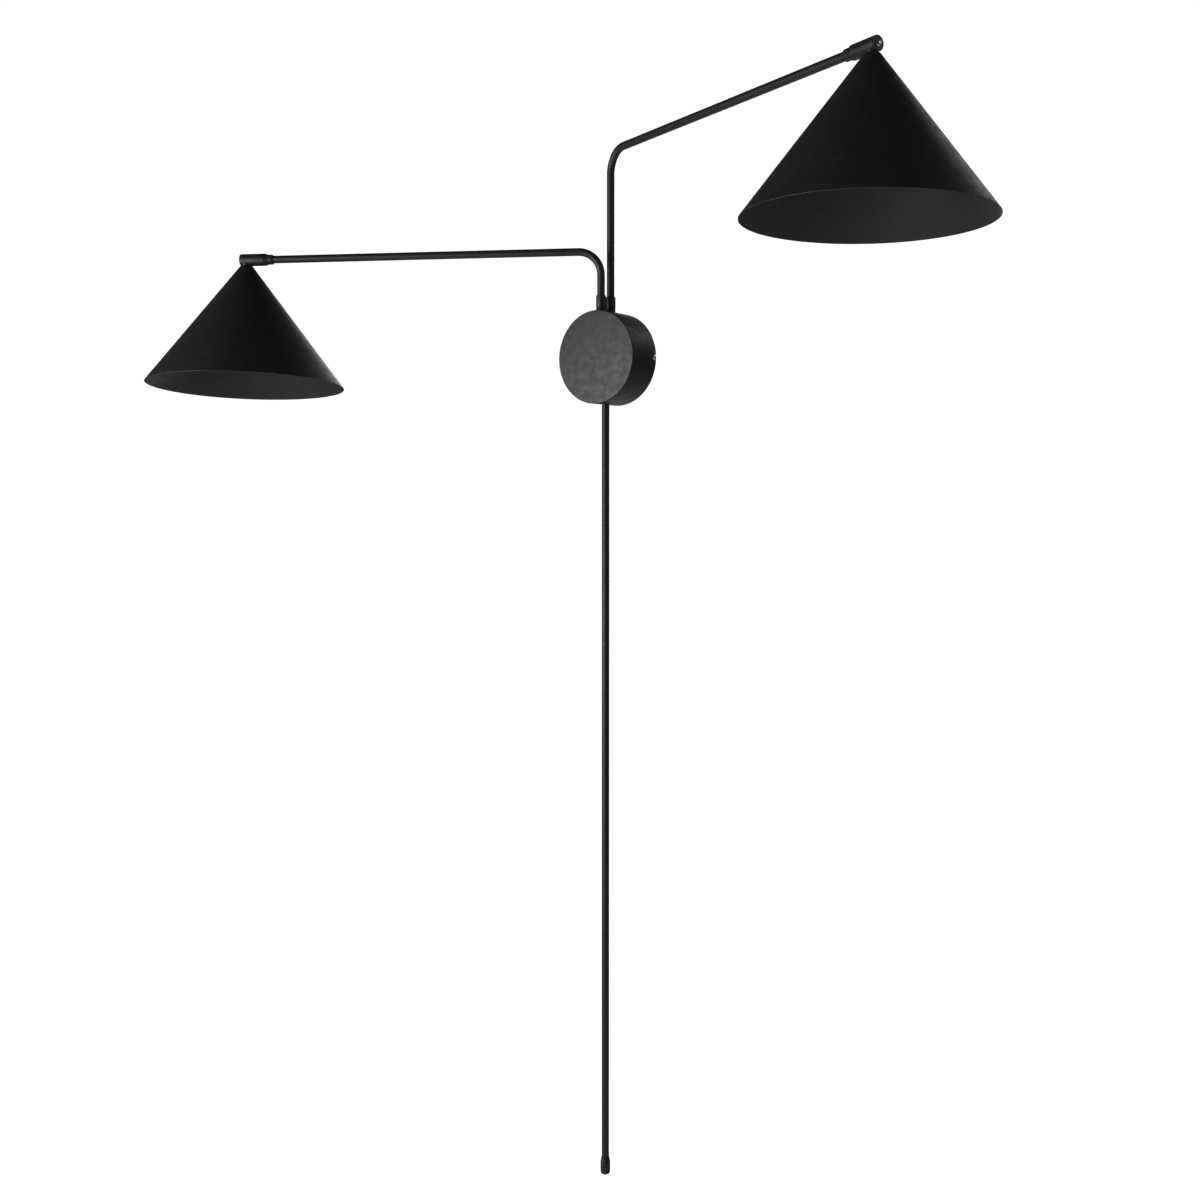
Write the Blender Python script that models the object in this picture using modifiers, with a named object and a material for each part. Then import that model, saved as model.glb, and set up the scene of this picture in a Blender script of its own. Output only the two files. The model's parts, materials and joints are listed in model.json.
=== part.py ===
"""Swing arm wall sconce.

A drum-shaped wall box carries two bent tubes that swivel about vertical axes. Each tube ends in a
knuckle that rolls about the arm, with a spun cone shade and its lampholder hanging under it. A long
straight rod hangs below the box.

The frame is in metres with +Z up. The wall is the plane y = 0, the lamp stands out towards -Y, and
the origin is the middle of the wall plate's back face, level with the middle of the box.
"""

import math
from collections import namedtuple

import bmesh
import bpy
from mathutils import Vector

# Clearance between neighbouring solids, and the small bevel on turned edges
GAP = 0.0003
EDGE_BREAK = 0.0003

# Wall box
BOX_DIAMETER = 0.120
BOX_DEPTH = 0.053
BOX_WALL = 0.0015
BOX_EDGE_RADIUS = 0.001
BOX_FROM_WALL = 0.0005
PLATE_DIAMETER = 0.115
PLATE_THICKNESS = 0.002
TAB_WIDTH = 0.014
TAB_LENGTH = 0.012
TAB_THICKNESS = 0.0016
TAB_INSET = 0.0007
SIDE_SCREW_FROM_WALL = 0.006
SIDE_SCREW_HEAD_DIAMETER = 0.008
SIDE_SCREW_HEAD_HEIGHT = 0.0026
SIDE_SCREW_LENGTH = 0.009
MACHINE_SCREW_DIAMETER = 0.004
DOME_RIM_SHARE = 0.25

# Fixing slots and cable hole in the wall plate
SLOT_SPACING = 0.060
SLOT_WIDTH = 0.005
SLOT_LENGTH = 0.014
CABLE_HOLE_DIAMETER = 0.014
CABLE_HOLE_DROP = 0.030

# Tubes of the arms and the rod
TUBE_DIAMETER = 0.010
TUBE_WALL = 0.001
BEND_RADIUS = 0.030
ARM_LENGTH = 0.480
COLLAR_DIAMETER = 0.013
COLLAR_CHAMFER = 0.0008
BASE_RING_HEIGHT = 0.004
COLLAR_HEIGHT = 0.0157

# Swivel hardware inside the box, from the bracket downwards
BRACKET_WIDTH = 0.022
BRACKET_BACK = 0.008
BRACKET_FRONT = 0.0498
BRACKET_TOP = 0.057
BRACKET_THICKNESS = 0.003
THRUST_WASHER_DIAMETER = 0.018
THRUST_WASHER_THICKNESS = 0.001
SPRING_WASHER_DIAMETER = 0.017
SPRING_WASHER_THICKNESS = 0.002
SWIVEL_NUT_FLATS = 0.017
SWIVEL_NUT_HEIGHT = 0.006
TUBE_END_BELOW_NUT = 0.003

# Rod below the box
ROD_FROM_WALL = 0.030
ROD_BOTTOM = -1.108
NIPPLE_PITCH_DIAMETER = 0.0074
NIPPLE_BORE_DIAMETER = 0.0054
ROD_NIPPLE_IN_ROD = 0.025
ROD_NIPPLE_TOP = -0.0475
ROD_WASHER_DIAMETER = 0.016
ROD_WASHER_BOTTOM = -0.0574
ROD_WASHER_THICKNESS = 0.0015
ROD_NUT_FLATS = 0.013
ROD_NUT_HEIGHT = 0.005
CAP_DIAMETER = 0.0134
CAP_NECK_DIAMETER = 0.0112
CAP_LENGTH = 0.0235
CAP_FLARE_LENGTH = 0.007
CAP_EDGE_RADIUS = 0.003
CAP_FLOOR = 0.004

# Knuckle at the end of each arm, measured along the arm from the shade's axis
KNUCKLE_DIAMETER = 0.016
KNUCKLE_OVERHANG = 0.0078
KNUCKLE_LENGTH = 0.034
KNUCKLE_END_WALL = 0.0038
KNUCKLE_CHAMFER = 0.0005
KNUCKLE_BOSS_DIAMETER = 0.0128
KNUCKLE_BOSS_TOP = 0.0045
END_COLLAR_LENGTH = 0.0105
END_COLLAR_TAPER = 0.0045
END_COLLAR_TUBE_DEPTH = 0.006
SPINDLE_IN_TUBE = 0.020
SPINDLE_SLOT_LENGTH = 0.0085
END_SCREW_HEAD_DIAMETER = 0.0076
END_SCREW_HEAD_HEIGHT = 0.0022
END_SCREW_IN_SPINDLE = 0.0025

# Shade, measured down from the arm's axis along the shade's own axis
SHADE_DIAMETER = 0.260
SHADE_TOP = 0.0084
SHADE_TOP_DIAMETER = 0.0164
SHADE_RIM = 0.169
SHADE_SHEET = 0.001

# Lampholder and bulb, measured the same way
HOLDER_NIPPLE_DIAMETER = 0.010
HOLDER_NIPPLE_BORE = 0.007
HOLDER_NIPPLE_TOP = 0.0046
SHADE_NUT_FLATS = 0.013
SHADE_NUT_HEIGHT = 0.003
HOLDER_DIAMETER = 0.028
HOLDER_NECK_DIAMETER = 0.014
HOLDER_TOP = 0.013
HOLDER_SHOULDER = 0.021
HOLDER_BOTTOM = 0.058
HOLDER_SOCKET_DIAMETER = 0.0172
HOLDER_SOCKET_TOP = 0.030
HOLDER_THREAD_DEPTH = 0.0093
BULB_BASE_DIAMETER = 0.0138
BULB_BASE_TOP = 0.0315
BULB_BASE_BOTTOM = 0.0565
BULB_BASE_TAPER = 0.002
BULB_CONTACT_DIAMETER = 0.005
BULB_CONTACT_HEIGHT = 0.0009
BULB_GLOBE_DIAMETER = 0.045
BULB_GLOBE_CENTRE = 0.091
BULB_NECK_DIAMETER = 0.016
BULB_NECK_LENGTH = 0.004
BULB_SHOULDER_SHARE = 1.35

# Wiring
LEAD_DIAMETER = 0.0044
LEAD_BELOW_TUBE = 0.003
LEAD_FROM_SLOT = 0.002
LEAD_ABOVE_SOCKET = 0.004
TERMINAL_SIZE = Vector((0.030, 0.014, 0.016))
TERMINAL_CENTRE_HEIGHT = -0.005
TERMINAL_POLE_SPACING = 0.014
TERMINAL_WIRE_HOLE_DIAMETER = 0.005
TERMINAL_SCREW_DIAMETER = 0.0034
TERMINAL_SCREW_LENGTH = 0.003
TERMINAL_SCREW_SPACING = 0.009
TERMINAL_SCREW_RECESS = 0.0008
EARTH_POSITION = Vector((0.034, 0.0, 0.026))
EARTH_SCREW_LENGTH = 0.009
EARTH_SCREW_FROM_WALL = 0.0002
EARTH_NUT_FLATS = 0.007
EARTH_NUT_HEIGHT = 0.003

# Smoothness of round shapes: sides to a full turn, steps along a curve, degrees between a dome's rings
SIDES_DRUM = 64
SIDES_SHADE = 64
SIDES_ROUND = 24
SIDES_SMALL = 16
SIDES_TINY = 12
BEND_STEPS = 10
LEAD_STEPS = 10
FLARE_STEPS = 6
SCREW_DOME_STEP = 18
HOLDER_DOME_STEP = 30

# Points closer than this are one point
MERGE_DISTANCE = 0.00001
WELD_DISTANCE = 0.000001
AXIS_MARK_SIZE = 0.02

Arm = namedtuple("Arm", "name from_wall height heading roll lead_side")

ARMS = (
    Arm("short", 0.040, 0.136, math.radians(180.0 + 29.0), math.radians(4.0), -1),
    Arm("long", 0.019, 0.267, math.radians(-21.0), math.radians(-1.0), 1),
)

PARTS = bpy.data.collections.new("swing_arm_wall_sconce")
CUTTERS = bpy.data.collections.new("cutters")


# ---------------------------------------------------------------- scene and materials

def clear_scene():
    for old in list(bpy.data.objects):
        bpy.data.objects.remove(old, do_unlink=True)
    for collection in (PARTS, CUTTERS):
        bpy.context.scene.collection.children.link(collection)


def principled(name, colour, metallic, roughness, transmission=0.0):
    material = bpy.data.materials.new(name)
    material.use_nodes = True
    shader = material.node_tree.nodes["Principled BSDF"]
    shader.inputs["Base Color"].default_value = (*colour, 1.0)
    shader.inputs["Metallic"].default_value = metallic
    shader.inputs["Roughness"].default_value = roughness
    shader.inputs["Transmission Weight"].default_value = transmission
    material.diffuse_color = (*colour, 1.0)
    return material


def powder_coat_black():
    return principled("powder_coat_black", (0.018, 0.018, 0.020), 0.0, 0.42)


def zinc_plated_steel():
    return principled("zinc_plated_steel", (0.55, 0.56, 0.57), 1.0, 0.38)


def nickel_plated_steel():
    return principled("nickel_plated_steel", (0.72, 0.70, 0.67), 1.0, 0.18)


def turned_brass():
    return principled("turned_brass", (0.72, 0.52, 0.24), 1.0, 0.30)


def black_thermoplastic():
    return principled("black_thermoplastic", (0.03, 0.03, 0.03), 0.0, 0.50)


def white_nylon():
    return principled("white_nylon", (0.78, 0.77, 0.73), 0.0, 0.45)


def black_flex():
    return principled("black_flex", (0.04, 0.04, 0.04), 0.0, 0.60)


def opal_glass():
    return principled("opal_glass", (0.90, 0.89, 0.86), 0.0, 0.20, 0.3)


# ---------------------------------------------------------------- modelling helpers

def frame_empty(name, location, rotation, parent=None):
    """An axis frame that the pieces of one moving body hang from."""
    empty = bpy.data.objects.new(name, None)
    empty.empty_display_size = AXIS_MARK_SIZE
    empty.location = location
    empty.rotation_euler = rotation
    empty.parent = parent
    PARTS.objects.link(empty)
    return empty


def place(item, parent, location=(0.0, 0.0, 0.0), rotation=(0.0, 0.0, 0.0)):
    item.parent = parent
    item.location = location
    item.rotation_euler = rotation
    return item


def new_object(name, data, material=None, collection=PARTS):
    item = bpy.data.objects.new(name, data)
    if material:
        data.materials.append(material)
    collection.objects.link(item)
    return item


def turned(name, profile, material=None, sides=SIDES_ROUND, ring=False, collection=PARTS):
    """Turn a profile of (radius, height) points about Z, from its top down its outer side."""
    mesh = bpy.data.meshes.new(name)
    count = len(profile)
    edges = [(i, i + 1) for i in range(count - 1)]
    if ring:
        edges.append((count - 1, 0))
    mesh.from_pydata([(radius, 0.0, height) for radius, height in profile], edges, [])
    item = new_object(name, mesh, material, collection)
    screw = item.modifiers.new("turn", "SCREW")
    screw.axis = "Z"
    screw.angle = math.tau
    screw.steps = sides
    screw.render_steps = sides
    screw.use_merge_vertices = True
    screw.merge_threshold = MERGE_DISTANCE
    screw.use_smooth_shade = True
    return item


def sleeve_profile(outer, inner, top, bottom, chamfer=0.0):
    """A ring's section, with its two outer edges chamfered when asked."""
    if not chamfer:
        return [(outer, top), (outer, bottom), (inner, bottom), (inner, top)]
    return [
        (outer - chamfer, top),
        (outer, top - chamfer),
        (outer, bottom + chamfer),
        (outer - chamfer, bottom),
        (inner, bottom),
        (inner, top),
    ]


def arc(centre, radius, start, end, steps):
    """Points on a circle between two angles in degrees, both ends included."""
    angles = [math.radians(start + (end - start) * i / steps) for i in range(steps + 1)]
    return [(centre[0] + radius * math.cos(a), centre[1] + radius * math.sin(a)) for a in angles]


def circle(centre, diameter, sides):
    return arc(centre, diameter / 2, 0.0, 360.0 * (sides - 1) / sides, sides - 1)


def hexagon(across_flats):
    return circle((0.0, 0.0), across_flats / math.cos(math.radians(30.0)), 6)


def slot(centre, length, width, sides):
    """A round-ended slot that runs along the outline's second axis."""
    reach = (length - width) / 2
    top = arc((centre[0], centre[1] + reach), width / 2, 0.0, 180.0, sides // 2)
    bottom = arc((centre[0], centre[1] - reach), width / 2, 180.0, 360.0, sides // 2)
    return top + bottom


def rectangle(low, high):
    return [(low[0], low[1]), (high[0], low[1]), (high[0], high[1]), (low[0], high[1])]


def flat_outline(name, loops, thickness, material=None, collection=PARTS):
    """A flat piece from one outer loop and any holes, centred on its own XY plane."""
    curve = bpy.data.curves.new(name, "CURVE")
    curve.dimensions = "2D"
    curve.fill_mode = "BOTH"
    curve.extrude = thickness / 2
    for loop in loops:
        spline = curve.splines.new("POLY")
        spline.points.add(len(loop) - 1)
        for point, (x, y) in zip(spline.points, loop):
            point.co = (x, y, 0.0, 1.0)
        spline.use_cyclic_u = True
    return new_object(name, curve, material, collection)


def wire(name, points, diameter, material=None, resolution=2, capped=True):
    """A round bar along a line of points."""
    curve = bpy.data.curves.new(name, "CURVE")
    curve.dimensions = "3D"
    curve.bevel_depth = diameter / 2
    curve.bevel_resolution = resolution
    curve.use_fill_caps = capped
    spline = curve.splines.new("POLY")
    spline.points.add(len(points) - 1)
    for point, place_at in zip(spline.points, points):
        point.co = (*place_at, 1.0)
    return new_object(name, curve, material)


def as_mesh(item):
    """Swap a curve object for the same shape as a welded mesh, so that it can take modifiers."""
    graph = bpy.context.evaluated_depsgraph_get()
    graph.update()
    mesh = bpy.data.meshes.new_from_object(item.evaluated_get(graph))
    work = bmesh.new()
    work.from_mesh(mesh)
    bmesh.ops.remove_doubles(work, verts=work.verts, dist=WELD_DISTANCE)
    work.to_mesh(mesh)
    work.free()
    name = item.name
    twin = bpy.data.objects.new(name, mesh)
    twin.matrix_world = item.matrix_world
    item.users_collection[0].objects.link(twin)
    bpy.data.objects.remove(item, do_unlink=True)
    twin.name = name
    mesh.name = name
    return twin


def block(name, low, high, material=None, collection=PARTS):
    """A box between two corners."""
    mesh = bpy.data.meshes.new(name)
    work = bmesh.new()
    bmesh.ops.create_cube(work, size=1.0)
    size = Vector(high) - Vector(low)
    middle = (Vector(high) + Vector(low)) / 2
    for vertex in work.verts:
        vertex.co = Vector([vertex.co[i] * size[i] + middle[i] for i in range(3)])
    work.to_mesh(mesh)
    work.free()
    return new_object(name, mesh, material, collection)


def drill(name, diameter, depth, location, rotation, parent=None, sides=SIDES_ROUND):
    """A round cutter, centred on its location, whose axis is its own Z."""
    mesh = bpy.data.meshes.new(name)
    work = bmesh.new()
    bmesh.ops.create_cone(
        work, cap_ends=True, segments=sides, radius1=diameter / 2, radius2=diameter / 2, depth=depth)
    work.to_mesh(mesh)
    work.free()
    cutter = new_object(name, mesh, collection=CUTTERS)
    return place(cutter, parent, location, rotation)


def combine(item, other, operation):
    """Cut one mesh from another, or join them, and hide the tool that did it."""
    boolean = item.modifiers.new(other.name, "BOOLEAN")
    boolean.object = other
    boolean.operation = operation
    boolean.solver = "EXACT"
    other.hide_render = True
    other.display_type = "WIRE"


ALONG_X = (0.0, math.radians(90.0), 0.0)
TOWARDS_FRONT = (math.radians(90.0), 0.0, 0.0)


# ---------------------------------------------------------------- wall box

def wall_plate(steel):
    """The steel disc that is screwed to the wall, with a tab at each side for the box's screws."""
    spacing = SLOT_SPACING / 2
    loops = [
        circle((0.0, 0.0), PLATE_DIAMETER, SIDES_DRUM),
        slot((-spacing, 0.0), SLOT_LENGTH, SLOT_WIDTH, SIDES_SMALL),
        slot((spacing, 0.0), SLOT_LENGTH, SLOT_WIDTH, SIDES_SMALL),
        circle((0.0, -CABLE_HOLE_DROP), CABLE_HOLE_DIAMETER, SIDES_ROUND),
        circle((EARTH_POSITION.x, EARTH_POSITION.z), MACHINE_SCREW_DIAMETER + 2 * GAP, SIDES_SMALL),
    ]
    plate = flat_outline("wall_plate", loops, PLATE_THICKNESS, steel)
    place(plate, None, (0.0, -PLATE_THICKNESS / 2, 0.0), TOWARDS_FRONT)
    bpy.context.view_layer.update()
    plate = as_mesh(plate)
    tab_outer = PLATE_DIAMETER / 2 - TAB_INSET
    for side in (-1, 1):
        near = side * (tab_outer - TAB_THICKNESS)
        far = side * tab_outer
        low = (min(near, far), -TAB_LENGTH, -TAB_WIDTH / 2)
        high = (max(near, far), -PLATE_THICKNESS / 2, TAB_WIDTH / 2)
        tab = block(f"plate_tab_{side_name(side)}", low, high, collection=CUTTERS)
        combine(plate, tab, "UNION")
    hole = drill("plate_tab_holes", MACHINE_SCREW_DIAMETER + 2 * GAP, BOX_DIAMETER,
                 (0.0, -SIDE_SCREW_FROM_WALL, 0.0), ALONG_X, sides=SIDES_SMALL)
    combine(plate, hole, "DIFFERENCE")
    return plate


def side_name(side):
    return "left" if side < 0 else "right"


def box_cover(paint):
    """The spun drum that hides the plate and carries the tubes."""
    radius = BOX_DIAMETER / 2
    front = BOX_DEPTH
    back = BOX_FROM_WALL
    inner = radius - BOX_WALL
    edge = BOX_EDGE_RADIUS
    profile = [(0.0, front)]
    profile += arc((radius - edge, front - edge), edge, 90.0, 0.0, 3)
    profile += [(radius, back), (inner, back), (inner, front - BOX_WALL), (0.0, front - BOX_WALL)]
    cover = turned("canopy_cover", profile, paint, SIDES_DRUM)
    place(cover, None, rotation=TOWARDS_FRONT)
    for arm in ARMS:
        hole = drill(f"cover_hole_{arm.name}", TUBE_DIAMETER + 2 * GAP, BOX_DIAMETER / 2,
                     (0.0, -arm.from_wall, BOX_DIAMETER / 2), (0.0, 0.0, 0.0))
        combine(cover, hole, "DIFFERENCE")
    rod_hole = drill("cover_hole_rod", NIPPLE_PITCH_DIAMETER + 2 * GAP, BOX_DIAMETER / 2,
                     (0.0, -ROD_FROM_WALL, -BOX_DIAMETER / 2), (0.0, 0.0, 0.0))
    combine(cover, rod_hole, "DIFFERENCE")
    screw_holes = drill("cover_screw_holes", MACHINE_SCREW_DIAMETER + 2 * GAP, 2 * BOX_DIAMETER,
                        (0.0, -SIDE_SCREW_FROM_WALL, 0.0), ALONG_X, sides=SIDES_SMALL)
    combine(cover, screw_holes, "DIFFERENCE")
    return cover


def dome_screw(name, head_diameter, head_height, length, metal):
    """A dome-head screw along Z: the underside of its head is at zero and its shank runs down."""
    head = head_diameter / 2
    shank = MACHINE_SCREW_DIAMETER / 2
    rim = DOME_RIM_SHARE * head_height
    dome = [
        (head * math.sin(math.radians(a)), rim + (head_height - rim) * math.cos(math.radians(a)))
        for a in range(0, 91, SCREW_DOME_STEP)
    ]
    profile = dome + [(head, 0.0), (shank, 0.0), (shank, -length), (0.0, -length)]
    return turned(name, profile, metal, SIDES_SMALL)


def side_screws(metal):
    """The two screws that hold the cover on the plate's tabs."""
    for side in (-1, 1):
        screw = dome_screw(f"canopy_screw_{side_name(side)}", SIDE_SCREW_HEAD_DIAMETER,
                           SIDE_SCREW_HEAD_HEIGHT, SIDE_SCREW_LENGTH, metal)
        out = side * (BOX_DIAMETER / 2 + GAP)
        place(screw, None, (out, -SIDE_SCREW_FROM_WALL, 0.0), (0.0, side * math.radians(90.0), 0.0))


def swivel_bracket(steel):
    """The saddle plate under the top of the cover that both tubes turn in."""
    half = BRACKET_WIDTH / 2
    loops = [rectangle((-half, -BRACKET_FRONT), (half, -BRACKET_BACK))]
    for arm in ARMS:
        loops.append(circle((0.0, -arm.from_wall), TUBE_DIAMETER + 2 * GAP, SIDES_ROUND))
    bracket = flat_outline("swivel_bracket", loops, BRACKET_THICKNESS, steel)
    place(bracket, None, (0.0, 0.0, BRACKET_TOP - BRACKET_THICKNESS / 2))


def base_rings(paint):
    """The fixed rings on top of the box that the two collars turn on."""
    for arm in ARMS:
        bottom = BOX_DIAMETER / 2 + GAP
        section = sleeve_profile(COLLAR_DIAMETER / 2, TUBE_DIAMETER / 2 + GAP,
                                 bottom + BASE_RING_HEIGHT, bottom, EDGE_BREAK)
        ring = turned(f"{arm.name}_base_ring", section, paint, ring=True)
        place(ring, None, (0.0, -arm.from_wall, 0.0))


# ---------------------------------------------------------------- wiring in the box

def terminal_block(nylon):
    size = TERMINAL_SIZE
    back = -PLATE_THICKNESS - GAP
    low = (-size.x / 2, back - size.y, TERMINAL_CENTRE_HEIGHT - size.z / 2)
    high = (size.x / 2, back, TERMINAL_CENTRE_HEIGHT + size.z / 2)
    body = block("terminal_block", low, high, nylon)
    middle = back - size.y / 2
    for pole in (-1, 1):
        x = pole * TERMINAL_POLE_SPACING / 2
        wire_hole = drill(f"terminal_wire_hole_{side_name(pole)}", TERMINAL_WIRE_HOLE_DIAMETER,
                          2 * size.z, (x, middle, TERMINAL_CENTRE_HEIGHT), (0.0, 0.0, 0.0),
                          sides=SIDES_SMALL)
        combine(body, wire_hole, "DIFFERENCE")
        for level in (-1, 1):
            z = TERMINAL_CENTRE_HEIGHT + level * TERMINAL_SCREW_SPACING / 2
            pocket = drill(f"terminal_pocket_{side_name(pole)}_{level_name(level)}",
                           TERMINAL_SCREW_DIAMETER + 2 * GAP, size.y,
                           (x, back - size.y, z), TOWARDS_FRONT, sides=SIDES_SMALL)
            combine(body, pocket, "DIFFERENCE")


def level_name(level):
    return "lower" if level < 0 else "upper"


def terminal_screws(brass):
    radius = TERMINAL_SCREW_DIAMETER / 2
    front = PLATE_THICKNESS + GAP + TERMINAL_SIZE.y - TERMINAL_SCREW_RECESS
    for pole in (-1, 1):
        for level in (-1, 1):
            profile = [(0.0, front), (radius, front), (radius, front - TERMINAL_SCREW_LENGTH),
                       (0.0, front - TERMINAL_SCREW_LENGTH)]
            screw = turned(f"terminal_screw_{side_name(pole)}_{level_name(level)}", profile, brass,
                           SIDES_TINY)
            height = TERMINAL_CENTRE_HEIGHT + level * TERMINAL_SCREW_SPACING / 2
            place(screw, None, (pole * TERMINAL_POLE_SPACING / 2, 0.0, height), TOWARDS_FRONT)


def earth_terminal(brass):
    """The earth screw stands on the plate from behind and a nut clamps the earth wire on it."""
    shank = MACHINE_SCREW_DIAMETER / 2
    front = PLATE_THICKNESS + EARTH_SCREW_LENGTH
    back = EARTH_SCREW_FROM_WALL
    screw = turned("earth_screw", [(0.0, front), (shank, front), (shank, back), (0.0, back)],
                   brass, SIDES_TINY)
    place(screw, None, EARTH_POSITION, TOWARDS_FRONT)
    loops = [hexagon(EARTH_NUT_FLATS), circle((0.0, 0.0), 2 * (shank + GAP), SIDES_TINY)]
    nut = flat_outline("earth_nut", loops, EARTH_NUT_HEIGHT, brass)
    depth = -PLATE_THICKNESS - GAP - EARTH_NUT_HEIGHT / 2
    place(nut, None, EARTH_POSITION + Vector((0.0, depth, 0.0)), TOWARDS_FRONT)


def box_leads(flex):
    """The flexes from the terminal block to the foot of each tube, on the tube's own axis."""
    exit_height = TERMINAL_CENTRE_HEIGHT + TERMINAL_SIZE.z / 2 + GAP
    exit_depth = PLATE_THICKNESS + GAP + TERMINAL_SIZE.y / 2
    for arm in ARMS:
        foot = Vector((arm.lead_side * TERMINAL_POLE_SPACING / 2, -exit_depth, exit_height))
        head = Vector((0.0, -arm.from_wall, lead_start_height() - GAP))
        straight = Vector((0.0, 0.0, LEAD_DIAMETER))
        start = foot + straight
        end = head - straight
        pull = Vector((0.0, 0.0, (end.z - start.z) / 2))
        bend = [bezier(start, start + pull, end - pull, end, i / LEAD_STEPS)
                for i in range(LEAD_STEPS + 1)]
        wire(f"{arm.name}_box_lead", [foot] + bend + [head], LEAD_DIAMETER, flex)


def bezier(a, b, c, d, t):
    s = 1.0 - t
    return s ** 3 * a + 3 * s * s * t * b + 3 * s * t * t * c + t ** 3 * d


# ---------------------------------------------------------------- rod

def rod(paint, steel):
    """The straight rod, closed by a flared cap and hung from the box by a hollow nipple."""
    top = -BOX_DIAMETER / 2 - GAP
    outer = TUBE_DIAMETER / 2
    position = (0.0, -ROD_FROM_WALL, 0.0)
    tube_bottom = ROD_BOTTOM + CAP_FLOOR + GAP
    tube = turned("rod_tube", sleeve_profile(outer, outer - TUBE_WALL, top, tube_bottom),
                  paint, ring=True)
    place(tube, None, position)
    place(rod_cap(paint), None, position)
    nipple_outer = NIPPLE_PITCH_DIAMETER / 2
    nipple = turned("rod_nipple", sleeve_profile(nipple_outer, NIPPLE_BORE_DIAMETER / 2,
                                                 ROD_NIPPLE_TOP, top - ROD_NIPPLE_IN_ROD),
                    steel, SIDES_SMALL, ring=True)
    place(nipple, None, position)
    washer_top = ROD_WASHER_BOTTOM + ROD_WASHER_THICKNESS
    washer = turned("rod_washer", sleeve_profile(ROD_WASHER_DIAMETER / 2, nipple_outer + GAP,
                                                 washer_top, ROD_WASHER_BOTTOM), steel, ring=True)
    place(washer, None, position)
    nut = flat_outline("rod_lock_nut", [hexagon(ROD_NUT_FLATS),
                                        circle((0.0, 0.0), 2 * (nipple_outer + GAP), SIDES_SMALL)],
                       ROD_NUT_HEIGHT, steel)
    place(nut, None, (0.0, -ROD_FROM_WALL, washer_top + GAP + ROD_NUT_HEIGHT / 2))


def rod_cap(paint):
    radius = CAP_DIAMETER / 2
    neck = CAP_NECK_DIAMETER / 2
    bore = TUBE_DIAMETER / 2 + GAP
    top = ROD_BOTTOM + CAP_LENGTH
    edge = CAP_EDGE_RADIUS
    flare = [
        (neck + (radius - neck) * (1 - math.cos(math.pi * i / FLARE_STEPS)) / 2,
         top - CAP_FLARE_LENGTH * i / FLARE_STEPS)
        for i in range(FLARE_STEPS + 1)
    ]
    foot = arc((radius - edge, ROD_BOTTOM + edge), edge, 0.0, -90.0, 4)
    inside = [(bore, top), (bore, ROD_BOTTOM + CAP_FLOOR), (0.0, ROD_BOTTOM + CAP_FLOOR)]
    outline = list(reversed(inside)) + flare + foot + [(0.0, ROD_BOTTOM)]
    return turned("rod_end_cap", outline, paint)


# ---------------------------------------------------------------- arms

def nut_bottom():
    """Height of the underside of the lock nuts, worked down from the bracket."""
    stack = THRUST_WASHER_THICKNESS + SPRING_WASHER_THICKNESS + SWIVEL_NUT_HEIGHT + 3 * GAP
    return BRACKET_TOP - BRACKET_THICKNESS - stack


def tube_foot():
    return nut_bottom() - TUBE_END_BELOW_NUT


def lead_start_height():
    return tube_foot() - LEAD_BELOW_TUBE


def arm_end():
    """How far out the tube reaches, measured from its own vertical axis."""
    return ARM_LENGTH + KNUCKLE_OVERHANG - KNUCKLE_LENGTH - GAP - END_COLLAR_LENGTH + END_COLLAR_TUBE_DEPTH


def bent_line(arm, foot, reach):
    """A line up the arm's vertical axis, round the bend and out along the arm."""
    centre = (BEND_RADIUS, arm.height - BEND_RADIUS)
    bend = arc(centre, BEND_RADIUS, 180.0, 90.0, BEND_STEPS)
    return [(0.0, 0.0, foot)] + [(x, 0.0, z) for x, z in bend] + [(reach, 0.0, arm.height)]


def arm_tube(arm, swivel, paint):
    tube = wire(f"{arm.name}_arm_tube", bent_line(arm, tube_foot(), arm_end()), TUBE_DIAMETER,
                paint, resolution=8, capped=False)
    tube = as_mesh(tube)
    wall = tube.modifiers.new("wall", "SOLIDIFY")
    wall.thickness = TUBE_WALL
    wall.offset = -1.0
    wall.use_even_offset = True
    place(tube, swivel)


def swivel_collar(arm, swivel, paint):
    bottom = BOX_DIAMETER / 2 + BASE_RING_HEIGHT + 2 * GAP
    outer = COLLAR_DIAMETER / 2
    section = [
        (outer - COLLAR_CHAMFER, bottom + COLLAR_HEIGHT),
        (outer, bottom + COLLAR_HEIGHT - COLLAR_CHAMFER),
        (outer, bottom + EDGE_BREAK),
        (outer - EDGE_BREAK, bottom),
        (TUBE_DIAMETER / 2 + GAP, bottom),
        (TUBE_DIAMETER / 2 + GAP, bottom + COLLAR_HEIGHT),
    ]
    place(turned(f"{arm.name}_collar", section, paint, ring=True), swivel)


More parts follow.
